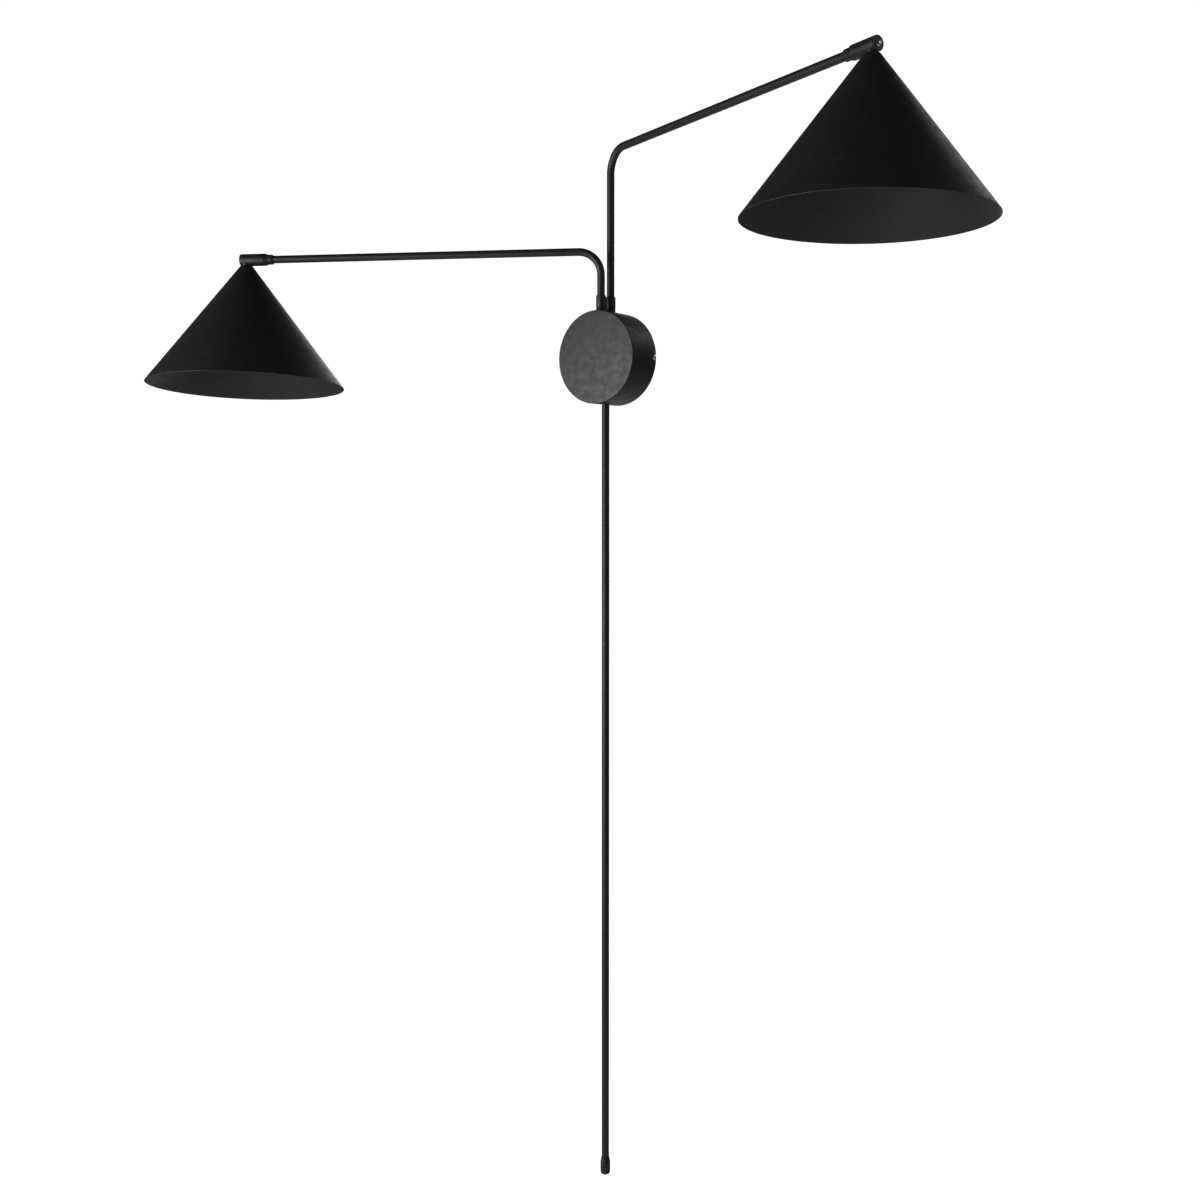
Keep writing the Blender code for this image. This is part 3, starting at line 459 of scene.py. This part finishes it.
def punch(item, radius, place, low, high, sides=48):
    """Cut a round hole through a piece along the Z axis of a placing matrix."""
    outline = [(0.0, high), (radius, high), (radius, low), (0.0, low)]
    combine(item, turn(f"{item.name}_cutter", outline, place, sides, closed=False), "DIFFERENCE")


def combine(item, other, operation):
    """Apply a boolean to a piece's mesh, remove the tool and shade the result."""
    step = item.modifiers.new(operation, "BOOLEAN")
    step.object = other
    step.operation = operation
    step.solver = "EXACT"
    bpy.context.view_layer.update()
    graph = bpy.context.evaluated_depsgraph_get()
    mesh = bpy.data.meshes.new_from_object(item.evaluated_get(graph))
    work = bmesh.new()
    work.from_mesh(mesh)
    bmesh.ops.remove_doubles(work, verts=work.verts, dist=WELD)
    bmesh.ops.dissolve_degenerate(work, edges=work.edges, dist=WELD)
    work.to_mesh(mesh)
    work.free()
    item.modifiers.clear()
    old = item.data
    item.data = mesh
    bpy.data.meshes.remove(old)
    bpy.data.objects.remove(other, do_unlink=True)
    mesh.shade_smooth()
    mesh.set_sharp_from_angle(angle=SHARP_ANGLE)


def sleeve(name, span, place, sides, top_ease, bottom_ease, bore_ease=0.0, warp=None):
    """A plain turned ring with eased outer edges."""
    corners = [
        (span.outer, span.high, top_ease),
        (span.outer, span.low, bottom_ease),
        (span.inner, span.low, bore_ease),
        (span.inner, span.high, bore_ease),
    ]
    return turn(name, eased(corners), place, sides, warp=warp)


def dome_screw(name, node, place, sides):
    """A dome-head screw: pressed cap with a thin cylindrical rim, and a plain shank."""
    span = measure(node, place)
    head = span.outer
    seat = min(z for r, z in rim_points(node, place) if r > 0.9 * head)
    rise = span.high - seat
    rim = SCREW_RIM_SHARE * rise
    shank = max(r for r, z in rim_points(node, place) if z < span.low + NEAR_END)
    cap_radius = (head ** 2 + (rise - rim) ** 2) / (2 * (rise - rim))
    sweep = math.degrees(math.asin(head / cap_radius))
    dome = arc((0.0, span.high - cap_radius), cap_radius, 90.0, 90.0 - sweep, 14)
    outline = [(0.0, span.high)] + dome[1:]
    outline += [(head, seat + 0.1 * MM), (head - 0.1 * MM, seat), (shank, seat)]
    outline += [(shank, span.low + 0.4 * MM), (shank - 0.4 * MM, span.low), (0.0, span.low)]
    return turn(name, outline, place, sides, closed=False)


def rim_points(node, place):
    """Each vertex of a CAD node as (radius, height) about a placing matrix's Z axis."""
    inverse = place.inverted()
    points = [inverse @ vertex.co for vertex in frame["nodes"][node].data.vertices]
    return [(math.hypot(point.x, point.y), point.z) for point in points]


# ---------------------------------------------------------------- settings

class SconceFinish(bpy.types.PropertyGroup):
    """The colours and grain of the painted and moulded surfaces."""
    paint: bpy.props.FloatVectorProperty(
        name="Paint", description="Colour of the powder coat", subtype="COLOR", size=4,
        min=0.0, max=1.0, default=linear("#1B1B1E"))
    paint_roughness: bpy.props.FloatProperty(
        name="Paint roughness", description="How satin the powder coat is", default=0.50,
        min=0.05, max=1.0, subtype="FACTOR")
    grit: bpy.props.FloatProperty(
        name="Grit", description="Drawn size of the powder coat's pebbling", default=1.6 * MM,
        min=0.1 * MM, unit="LENGTH")
    peel: bpy.props.FloatProperty(
        name="Orange peel", description="Size of the powder coat's slow waves", default=9.0 * MM,
        min=1.0 * MM, unit="LENGTH")


class SconceDetail(bpy.types.PropertyGroup):
    """How finely the round pieces are cut."""
    large: bpy.props.IntProperty(
        name="Large rounds", description="Sides of the box and the shades", default=192, min=32)
    small: bpy.props.IntProperty(
        name="Small rounds", description="Sides of tubes, collars and screws", default=48, min=12)
    bend: bpy.props.IntProperty(
        name="Bend steps", description="Steps round each tube's bend", default=32, min=8)
    edge: bpy.props.FloatProperty(
        name="Edge rounding", description="Rounding of turned edges", default=0.25 * MM,
        min=0.0, unit="LENGTH")


class SconceStage(bpy.types.PropertyGroup):
    """The camera, the floor and the lights."""
    azimuth: bpy.props.FloatProperty(
        name="Camera azimuth", description="Angle of the camera to the right of the front",
        default=math.radians(36.71), subtype="ANGLE")
    tilt: bpy.props.FloatProperty(
        name="Camera tilt", description="Angle of the view below the level",
        default=math.radians(4.6), subtype="ANGLE")
    distance: bpy.props.FloatProperty(
        name="Distance", description="Depth of the box's middle in front of the camera",
        default=1.7265, unit="LENGTH")
    aside: bpy.props.FloatProperty(
        name="Box to the side", description="How far right of the view's middle the box stands",
        default=0.0093, unit="LENGTH")
    above: bpy.props.FloatProperty(
        name="Box above", description="How far above the view's middle the box stands",
        default=0.3163, unit="LENGTH")
    lens: bpy.props.FloatProperty(
        name="Lens", description="Focal length in millimetres on a 36 mm sensor", default=39.53, min=10.0)
    floor_gap: bpy.props.FloatProperty(
        name="Floor gap", description="Space between the rod's foot and the floor",
        default=1.2, unit="LENGTH")
    backdrop: bpy.props.FloatProperty(
        name="Backdrop brightness", description="How bright the surroundings look to the camera",
        default=1.05, min=0.0)
    ambient: bpy.props.FloatProperty(
        name="Ambient", description="How much the surroundings light the lamp", default=0.045, min=0.0)


class SconceSettings(bpy.types.PropertyGroup):
    """Everything that can be changed about the sconce's looks."""
    finish: bpy.props.PointerProperty(type=SconceFinish)
    detail: bpy.props.PointerProperty(type=SconceDetail)
    stage: bpy.props.PointerProperty(type=SconceStage)


# ---------------------------------------------------------------- operators

class SCONCE_OT_wall_box(bpy.types.Operator):
    """Make the drum cover and its screws, and finish the plate behind it"""
    bl_idname = "sconce.wall_box"
    bl_label = "Wall box"

    def execute(self, context):
        settings = context.scene.sconce
        self.cover(settings)
        for side, way in (("left", -RIGHT), ("right", RIGHT)):
            node = f"canopy_screw_{side}"
            place = placing(middle(node) * Vector((0.0, 1.0, 1.0)), way)
            screw = dome_screw(f"side_screw_{side}", node, place, settings.detail.small)
            settle(screw, settings.finish, node)
        dress(settings.finish, "wall_plate", "swivel_bracket")
        return {"FINISHED"}

    def cover(self, settings):
        """The spun drum, with its rounded front edge and the holes for tubes, rod and screws."""
        span = measure("canopy_cover", BOX_PLACE)
        wall = span.outer - max(r for r, z in rim_points("canopy_cover", BOX_PLACE)
                                if z < span.low + NEAR_END and r < span.outer - 0.5 * MM)
        inside = span.outer - wall
        corners = [
            (0.0, span.high, 0.0),
            (span.outer, span.high, COVER_CROWN),
            (span.outer, span.low, COVER_EDGE),
            (inside, span.low, COVER_EDGE),
            (inside, span.high - wall, COVER_INNER_CORNER),
            (0.0, span.high - wall, 0.0),
        ]
        outline = eased(corners, closed=False, steps=8)
        cover = turn("box_cover", outline, BOX_PLACE, settings.detail.large, closed=False)
        for arm in ARMS:
            tube = measure(f"{arm}_base_ring", swivel_place(arm))
            punch(cover, tube.inner, swivel_place(arm), span.outer / 2, 2 * span.outer)
        nipple = measure("rod_nipple", rod_place())
        punch(cover, nipple.outer + PLAY, rod_place(), -2 * span.outer, -span.outer / 2)
        screw_place = placing(middle("canopy_screw_right") * Vector((0.0, 1.0, 1.0)), RIGHT)
        punch(cover, COVER_SCREW_RADIUS + PLAY, screw_place, -2 * span.outer, 2 * span.outer)
        settle(cover, settings.finish, "canopy_cover")


class SCONCE_OT_swivels(bpy.types.Operator):
    """Make the fixed rings and the turning collars on top of the box"""
    bl_idname = "sconce.swivels"
    bl_label = "Swivels"

    def execute(self, context):
        settings = context.scene.sconce
        drum = measure("canopy_cover", BOX_PLACE).outer + SAME
        for arm in ARMS:
            place = swivel_place(arm)
            ring = measure(f"{arm}_base_ring", place)
            foot = ring.low + 0.3 * (ring.high - ring.low)

            def saddle(point, foot=foot, place=place):
                """Bring the ring's foot down onto the drum."""
                across = (place @ point).x
                if point.z < foot:
                    point.z = math.sqrt(drum ** 2 - across ** 2)
                return point

            seam = ring.high - RING_GROOVE_DROP
            outline = eased([
                (ring.inner, ring.high, 0.0),
                (ring.outer, ring.high, SEAM_BREAK),
                (ring.outer, seam + SEAM_BREAK, 0.1 * MM),
                (ring.outer - SEAM_BREAK, seam, 0.0),
                (ring.outer, seam - SEAM_BREAK, 0.1 * MM),
                (ring.outer, ring.low, 0.0),
                (ring.inner, ring.low, 0.0),
            ])
            base = turn(f"{arm}_saddle_ring", outline, place, settings.detail.small, warp=saddle)
            settle(base, settings.finish, f"{arm}_base_ring")
            span = measure(f"{arm}_collar", place)
            collar = self.collar(arm, span, place, settings)
            settle(collar, settings.finish, f"{arm}_collar")
            dress(settings.finish, f"{arm}_thrust_washer", f"{arm}_spring_washer", f"{arm}_lock_nut")
        return {"FINISHED"}

    def collar(self, arm, span, place, settings):
        """The turned collar: a chamfered top and a rounded lower edge that shows the seam."""
        edge = settings.detail.edge
        corners = [
            (span.inner, span.high, NEAR_END),
            (span.outer - COLLAR_CHAMFER, span.high, edge),
            (span.outer, span.high - COLLAR_CHAMFER, edge),
            (span.outer, span.low, SEAM_BREAK),
            (span.inner, span.low, 0.0),
        ]
        return turn(f"{arm}_swivel_collar", eased(corners), place, settings.detail.small)


class SCONCE_OT_arms(bpy.types.Operator):
    """Make the two bent tubes and the taper collars at their ends"""
    bl_idname = "sconce.arms"
    bl_label = "Arms"

    def execute(self, context):
        settings = context.scene.sconce
        for arm in ARMS:
            settle(self.tube(arm, settings), settings.finish, f"{arm}_arm_tube")
            settle(self.taper(arm, settings), settings.finish, f"{arm}_end_collar")
            dress(settings.finish, f"{arm}_spindle", f"{arm}_arm_lead")
        return {"FINISHED"}

    def tube(self, arm, settings):
        """A steel tube drawn round one bend, from inside the box to inside the taper collar."""
        place = swivel_place(arm)
        inverse = place.inverted()
        points = [inverse @ vertex.co for vertex in frame["nodes"][f"{arm}_arm_tube"].data.vertices]
        foot = min(point.z for point in points)
        reach = max(point.x for point in points)
        outer = max(point.y for point in points)
        inner = min(math.hypot(p.x, p.y) for p in points if p.z < foot + NEAR_END)
        top = max(point.z for point in points)
        bend = min(point.x for point in points if point.z > top - SAME)
        height = top - outer
        upright = height - bend
        stations = [(Vector((0.0, 0.0, foot)), UP.copy())]
        for k in range(settings.detail.bend + 1):
            angle = math.radians(90.0 * k / settings.detail.bend)
            point = Vector((bend * (1 - math.cos(angle)), 0.0, upright + bend * math.sin(angle)))
            stations.append((point, Vector((math.sin(angle), 0.0, math.cos(angle)))))
        stations.append((Vector((reach, 0.0, height)), RIGHT.copy()))
        return pipe(f"{arm}_bent_tube", stations, outer, inner, place, settings.detail.small)

    def taper(self, arm, settings):
        """The collar on the tube's end, opening out to the knuckle's width with a sharp machined step."""
        place = knuckle_place(arm)
        span = measure(f"{arm}_end_collar", place)
        rims = rim_points(f"{arm}_end_collar", place)
        narrow = max(r for r, z in rims if z < span.low + 1.0 * MM)
        start = max(z for r, z in rims if abs(r - narrow) < SAME)
        seat = max(z for r, z in rims if span.inner + 0.5 * MM < r < narrow - 0.5 * MM)
        tube_bore = max(r for r, z in rims if z < span.low + NEAR_END and r < narrow - 0.8 * MM)
        edge = settings.detail.edge
        corners = [
            (span.outer, span.high, edge),
            (narrow, start, edge),
            (narrow, span.low, edge),
            (tube_bore, span.low, 0.0),
            (tube_bore, seat, 0.0),
            (span.inner, seat, 0.0),
            (span.inner, span.high, 0.0),
        ]
        return turn(f"{arm}_taper_collar", eased(corners), place, settings.detail.small)


class SCONCE_OT_knuckles(bpy.types.Operator):
    """Make the knuckle barrels and the screws in their ends"""
    bl_idname = "sconce.knuckles"
    bl_label = "Knuckles"

    def execute(self, context):
        settings = context.scene.sconce
        for arm in ARMS:
            place = knuckle_place(arm)
            settle(self.barrel(arm, place, settings), settings.finish, f"{arm}_knuckle")
            screw = dome_screw(f"{arm}_retaining_screw", f"{arm}_end_screw", place, settings.detail.small)
            settle(screw, settings.finish, f"{arm}_end_screw")
        return {"FINISHED"}

    def barrel(self, arm, place, settings):
        """A turned barrel with a small chamfer at each end and a boss that the shade hangs from."""
        span = measure(f"{arm}_knuckle", place)
        rims = rim_points(f"{arm}_knuckle", place)
        bore = min(r for r, z in rims if z < span.low + NEAR_END)
        floor = max(z for r, z in rims if abs(r - bore) < SAME)
        outer = max(r for r, z in rims if z > span.high - 2 * BARREL_CHAMFER)
        corners = [
            (outer - BARREL_CHAMFER, span.high, BARREL_ROUNDING),
            (outer, span.high - BARREL_CHAMFER, BARREL_ROUNDING),
            (outer, span.low + BARREL_CHAMFER, BARREL_ROUNDING),
            (outer - BARREL_CHAMFER, span.low, BARREL_ROUNDING),
            (bore, span.low, 0.0),
            (bore, floor, 0.0),
            (span.inner, floor, 0.0),
            (span.inner, span.high, 0.0),
        ]
        barrel = turn(f"{arm}_barrel", eased(corners), place, settings.detail.small)
        self.boss(arm, barrel, settings)
        nipple = measure(f"{arm}_shade_nipple", shade_place(arm))
        punch(barrel, nipple.outer + PLAY, shade_place(arm), -2 * outer, 0.0)
        return barrel

    def boss(self, arm, barrel, settings):
        """Join on the round seat below the barrel, read from the knuckle's own foot."""
        place = shade_place(arm)
        rims = rim_points(f"{arm}_knuckle", place)
        foot = min(z for r, z in rims)
        outer = max(r for r, z in rims if z < foot + SAME)
        corners = [
            (0.0, -BOSS_ROOT, 0.0),
            (outer, -BOSS_ROOT, 0.0),
            (outer, foot, settings.detail.edge),
            (0.0, foot, 0.0),
        ]
        seat = turn(f"{arm}_boss", eased(corners, closed=False), place, settings.detail.small, closed=False)
        combine(barrel, seat, "UNION")


class SCONCE_OT_shades(bpy.types.Operator):
    """Make the two spun cone shades"""
    bl_idname = "sconce.shades"
    bl_label = "Shades"

    def execute(self, context):
        settings = context.scene.sconce
        for arm in ARMS:
            settle(self.cone(arm, settings), settings.finish, f"{arm}_shade")
            dress(settings.finish, f"{arm}_shade_nut", f"{arm}_shade_nipple")
        return {"FINISHED"}

    def cone(self, arm, settings):
        """A cone spun from one disc: a small flat crown, straight sides and a rounded sheet edge."""
        place = shade_place(arm)
        span = measure(f"{arm}_shade", place)
        rims = rim_points(f"{arm}_shade", place)
        crown = max(r for r, z in rims if z > span.high - NEAR_END)
        across = span.outer - min(r for r, z in rims if z < span.low + NEAR_END)
        slope = math.atan2(span.outer - crown, span.high - span.low)
        sheet = across * math.cos(slope)
        under = crown + sheet * math.tan(slope) - across
        rim = SHADE_EDGE_SHARE * sheet
        corners = [
            (span.inner, span.high, 0.0),
            (crown, span.high, SHADE_CROWN),
            (span.outer, span.low, rim),
            (span.outer - across, span.low, rim),
            (under, span.high - sheet, SHADE_INNER_CORNER),
            (span.inner, span.high - sheet, 0.0),
        ]
        return turn(f"{arm}_cone_shade", eased(corners), place, settings.detail.large)


class SCONCE_OT_lampholders(bpy.types.Operator):
    """Make the lampholders and the bulbs"""
    bl_idname = "sconce.lampholders"
    bl_label = "Lampholders and bulbs"

    def execute(self, context):
        settings = context.scene.sconce
        for arm in ARMS:
            place = shade_place(arm)
            settle(self.holder(arm, place, settings), settings.finish, f"{arm}_lampholder")
            settle(self.base(arm, place, settings), settings.finish, f"{arm}_bulb_base")
            settle(self.globe(arm, place, settings), settings.finish, f"{arm}_bulb_globe")
            dress(settings.finish, f"{arm}_drop_lead")
        return {"FINISHED"}

    def holder(self, arm, place, settings):
        """A moulded lampholder: domed cap, a joint line, and a skirt with gripping rings."""
        node = f"{arm}_lampholder"
        span = measure(node, place)
        rims = rim_points(node, place)
        neck = max(r for r, z in rims if z > span.high - NEAR_END)
        shoulder = max(z for r, z in rims if r > span.outer - SAME)
        socket = min(r for r, z in rims if z < span.low + NEAR_END)
        socket_top = max(z for r, z in rims if abs(r - socket) < SAME)
        thread = min(r for r, z in rims if z > span.high - NEAR_END)
        thread_end = min(z for r, z in rims if abs(r - thread) < SAME)
        rise = span.high - shoulder
        dome = [
            (neck + (span.outer - neck) * math.sin(math.radians(a)),
             shoulder + rise * math.cos(math.radians(a)))
            for a in range(0, 91, 9)
        ]
        joint = shoulder - HOLDER_JOINT_DROP
        floor = span.outer - HOLDER_GROOVE
        outline = dome + [(span.outer, joint), (floor, joint - 0.4 * MM),
                          (floor, joint - 1.0 * MM), (span.outer, joint - 1.4 * MM)]
        pitch = HOLDER_RING_PITCH
        for k in range(HOLDER_RINGS):
            top = joint - 4.0 * MM - k * pitch
            outline += [(span.outer, top), (floor, top - 0.3 * pitch),
                        (floor, top - 0.5 * pitch), (span.outer, top - 0.8 * pitch)]
        outline += arc((span.outer - HOLDER_FOOT, span.low + HOLDER_FOOT), HOLDER_FOOT, 0.0, -90.0, 4)
        outline += [
            (socket, span.low),
            (socket, socket_top),
            (span.inner, socket_top),
            (span.inner, thread_end),
            (thread, thread_end),
            (thread, span.high),
        ]
        return turn(f"{arm}_holder", outline, place, settings.detail.small * 2)

    def base(self, arm, place, settings):
        """The bulb's pressed screw cap, with a rolled thread and its contact button."""
        span = measure(f"{arm}_bulb_base", place)
        rims = rim_points(f"{arm}_bulb_base", place)
        contact = min(r for r, z in rims if z > span.high - NEAR_END and r > 0.5 * MM)
        shell_top = max(z for r, z in rims if r > span.outer - SAME)
        root = span.outer - CAP_THREAD_DEPTH
        outline = [(0.0, span.high), (contact * 0.7, span.high), (contact, span.high - 0.5 * MM),
                   (contact, span.high - 0.9 * MM), (root, shell_top)]
        steps = 8
        for k in range(CAP_THREAD_TURNS * steps + 1):
            wave = 0.5 - 0.5 * math.cos(math.tau * k / steps)
            down = 0.8 * MM + CAP_THREAD_PITCH * k / steps
            outline.append((root + CAP_THREAD_DEPTH * wave, shell_top - down))
        outline += [(span.outer, span.low + 1.5 * MM), (span.outer, span.low), (0.0, span.low)]
        return turn(f"{arm}_screw_cap", outline, place, settings.detail.small, closed=False)

    def globe(self, arm, place, settings):
        """The blown globe and its short neck, as one smooth skin."""
        span = measure(f"{arm}_bulb_globe", place)
        rims = rim_points(f"{arm}_bulb_globe", place)
        neck = max(r for r, z in rims if z > span.high - NEAR_END)
        centre = span.low + span.outer
        meeting = math.degrees(math.acos(1.3 * neck / span.outer))
        ball = arc((0.0, centre), span.outer, meeting, -90.0, 28)
        shoulder = Vector(ball[0])
        start = Vector((neck, span.high - 1.0 * MM))
        down = Vector((0.0, -0.45 * (start.y - shoulder.y)))
        lean = Vector((-math.sin(math.radians(meeting)), math.cos(math.radians(meeting))))
        pull = shoulder + lean * 0.4 * (start.y - shoulder.y)
        neck_curve = []
        for k in range(9):
            t = k / 9
            s = 1.0 - t
            point = s ** 3 * start + 3 * s * s * t * (start + down) + 3 * s * t * t * pull + t ** 3 * shoulder
            neck_curve.append(tuple(point))
        outline = [(0.0, span.high), (neck, span.high)] + neck_curve + ball[:-1] + [(0.0, span.low)]
        return turn(f"{arm}_opal_globe", outline, place, settings.detail.small * 2, closed=False)


class SCONCE_OT_rod(bpy.types.Operator):
    """Make the long rod and its end cap"""
    bl_idname = "sconce.rod"
    bl_label = "Rod"

    def execute(self, context):
        settings = context.scene.sconce
        place = rod_place()
        edge = settings.detail.edge
        tube = sleeve("long_rod", measure("rod_tube", place), place, settings.detail.small, edge, edge)
        settle(tube, settings.finish, "rod_tube")
        settle(self.cap(place, settings), settings.finish, "rod_end_cap")
        dress(settings.finish, "rod_nipple", "rod_washer", "rod_lock_nut")
        return {"FINISHED"}

    def cap(self, place, settings):
        """The turned end cap: a neck that swells to the body in one curve, and a rounded foot."""
        span = measure("rod_end_cap", place)
        rims = rim_points("rod_end_cap", place)
        neck = max(r for r, z in rims if z > span.high - NEAR_END)
        bore = min(r for r, z in rims if z > span.high - NEAR_END)
        floor = min(z for r, z in rims if abs(r - bore) < SAME)
        body = max(z for r, z in rims if r > span.outer - SAME)
        swell = [
            (neck + (span.outer - neck) * (1 - math.cos(math.pi * k / 16)) / 2,
             span.high + (body - span.high) * k / 16)
            for k in range(17)
        ]
        foot = arc((span.outer - FOOT_ROUNDING, span.low + FOOT_ROUNDING), FOOT_ROUNDING, 0.0, -90.0, 12)
        outline = [(0.0, floor), (bore, floor), (bore, span.high)] + swell + foot + [(0.0, span.low)]
        return turn("rod_foot_cap", outline, place, settings.detail.small, closed=False)


class SCONCE_OT_wiring(bpy.types.Operator):
    """Finish the terminal block, the earth screw and the flexes in the box"""
    bl_idname = "sconce.wiring"
    bl_label = "Wiring"

    def execute(self, context):
        finish = context.scene.sconce.finish
        screws = [name for name in SLOT_OF if name.startswith("terminal_screw")]
        dress(finish, "terminal_block", "earth_screw", "earth_nut", *screws)
        dress(finish, *[f"{arm}_box_lead" for arm in ARMS])
        return {"FINISHED"}


class SCONCE_OT_stage(bpy.types.Operator):
    """Make the floor, the surroundings, the lights and the camera"""
    bl_idname = "sconce.stage"
    bl_label = "Stage"

    def execute(self, context):
        stage = context.scene.sconce.stage
        self.floor(stage)
        self.surroundings(context.scene, stage)
        self.lights()
        self.camera(context.scene, stage)
        context.scene.view_settings.view_transform = "Standard"
        return {"FINISHED"}

    def floor(self, stage):
        """A pale round floor well below the rod."""
        low = cad_box[0].z - stage.floor_gap
        radius = 9.0
        outline = [(0.0, 0.0), (radius, 0.0), (radius, -0.02), (0.0, -0.02)]
        floor = turn("pale_floor", outline, Matrix.Translation((0.0, 0.0, low)), 96, closed=False)
        material, tree, shader, position = blank("pale_floor_paint")
        cloud = add(tree, "ShaderNodeTexNoise", {"Vector": position, "Scale": 1.0 / 0.6}).outputs["Fac"]
        colour = add(tree, "ShaderNodeMix", {
            0: cloud, 6: linear("#F7F7F7"), 7: linear("#FAFAFA")}, data_type="RGBA").outputs[2]
        tree.links.new(colour, shader.inputs["Base Color"])
        shader.inputs["Roughness"].default_value = 0.9
        shader.inputs["Emission Color"].default_value = linear("#FFFFFF")
        seen = add(tree, "ShaderNodeLightPath").outputs["Is Camera Ray"]
        glow = add(tree, "ShaderNodeMapRange", {"Value": seen, "To Min": 0.13, "To Max": 1.0})
        tree.links.new(glow.outputs["Result"], shader.inputs["Emission Strength"])
        floor.data.materials.append(material)

    def surroundings(self, scene, stage):
        """A white room: bright where it is seen directly, dimmer as a source of light."""
        world = bpy.data.worlds.new("white_room")
        world.use_nodes = True
        tree = world.node_tree
        background = tree.nodes["Background"]
        background.inputs["Color"].default_value = linear("#FFFFFF")
        seen = add(tree, "ShaderNodeLightPath").outputs["Is Camera Ray"]
        strength = add(tree, "ShaderNodeMapRange",
                       {"Value": seen, "To Min": stage.ambient, "To Max": stage.backdrop})
        tree.links.new(strength.outputs["Result"], background.inputs["Strength"])
        scene.world = world

    def lights(self):
        """Soft boxes round the lamp, each aimed at its middle."""
        centre = Vector((0.0, -0.15, 0.05))
        for name, spot, size, power in LIGHTS:
            data = bpy.data.lights.new(name, "AREA")
            data.shape = "RECTANGLE"
            data.size, data.size_y = size
            data.energy = power
            lamp = bpy.data.objects.new(name, data)
            lamp.matrix_world = placing(Vector(spot), Vector(spot) - centre, RIGHT)
            bpy.context.scene.collection.objects.link(lamp)

    def camera(self, scene, stage):
        """The camera, placed by where the box stands in its view."""
        azimuth, tilt = stage.azimuth, -stage.tilt
        forward = Vector((-math.sin(azimuth) * math.cos(tilt), math.cos(azimuth) * math.cos(tilt),
                          math.sin(tilt)))
        across = Vector((math.cos(azimuth), math.sin(azimuth), 0.0))
        over = across.cross(forward)
        low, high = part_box("canopy_cover")
        centre = (Vector(low) + Vector(high)) / 2
        data = bpy.data.cameras.new("view")
        data.lens = stage.lens
        data.sensor_width = 36.0
        data.clip_end = 50.0
        camera = bpy.data.objects.new("view", data)
        spot = centre - across * stage.aside - over * stage.above - forward * stage.distance
        turn_to = Matrix((across, over, -forward)).transposed().to_4x4()
        camera.matrix_world = Matrix.Translation(spot) @ turn_to
        scene.collection.objects.link(camera)
        scene.camera = camera


class SCONCE_PT_panel(bpy.types.Panel):
    """The sconce's settings and the buttons that build it"""
    bl_label = "Swing arm wall sconce"
    bl_idname = "SCONCE_PT_panel"
    bl_space_type = "VIEW_3D"
    bl_region_type = "UI"
    bl_category = "Sconce"

    def draw(self, context):
        settings = context.scene.sconce
        for group in (settings.finish, settings.detail, settings.stage):
            box = self.layout.box()
            for name in group.__annotations__:
                box.prop(group, name)
        for operator in OPERATORS:
            self.layout.operator(operator.bl_idname)


OPERATORS = (
    SCONCE_OT_stage,
    SCONCE_OT_wall_box,
    SCONCE_OT_swivels,
    SCONCE_OT_arms,
    SCONCE_OT_knuckles,
    SCONCE_OT_shades,
    SCONCE_OT_lampholders,
    SCONCE_OT_rod,
    SCONCE_OT_wiring,
)
CLASSES = (SconceFinish, SconceDetail, SconceStage, SconceSettings, *OPERATORS, SCONCE_PT_panel)


def register():
    for cls in CLASSES:
        bpy.utils.register_class(cls)
    bpy.types.Scene.sconce = bpy.props.PointerProperty(type=SconceSettings)


def unregister():
    del bpy.types.Scene.sconce
    for cls in reversed(CLASSES):
        bpy.utils.unregister_class(cls)


def main():
    register()
    bpy.ops.sconce.stage()
    bpy.ops.sconce.wall_box()
    bpy.ops.sconce.swivels()
    bpy.ops.sconce.arms()
    bpy.ops.sconce.knuckles()
    bpy.ops.sconce.shades()
    bpy.ops.sconce.lampholders()
    bpy.ops.sconce.rod()
    bpy.ops.sconce.wiring()


if __name__ == "__main__":
    main()
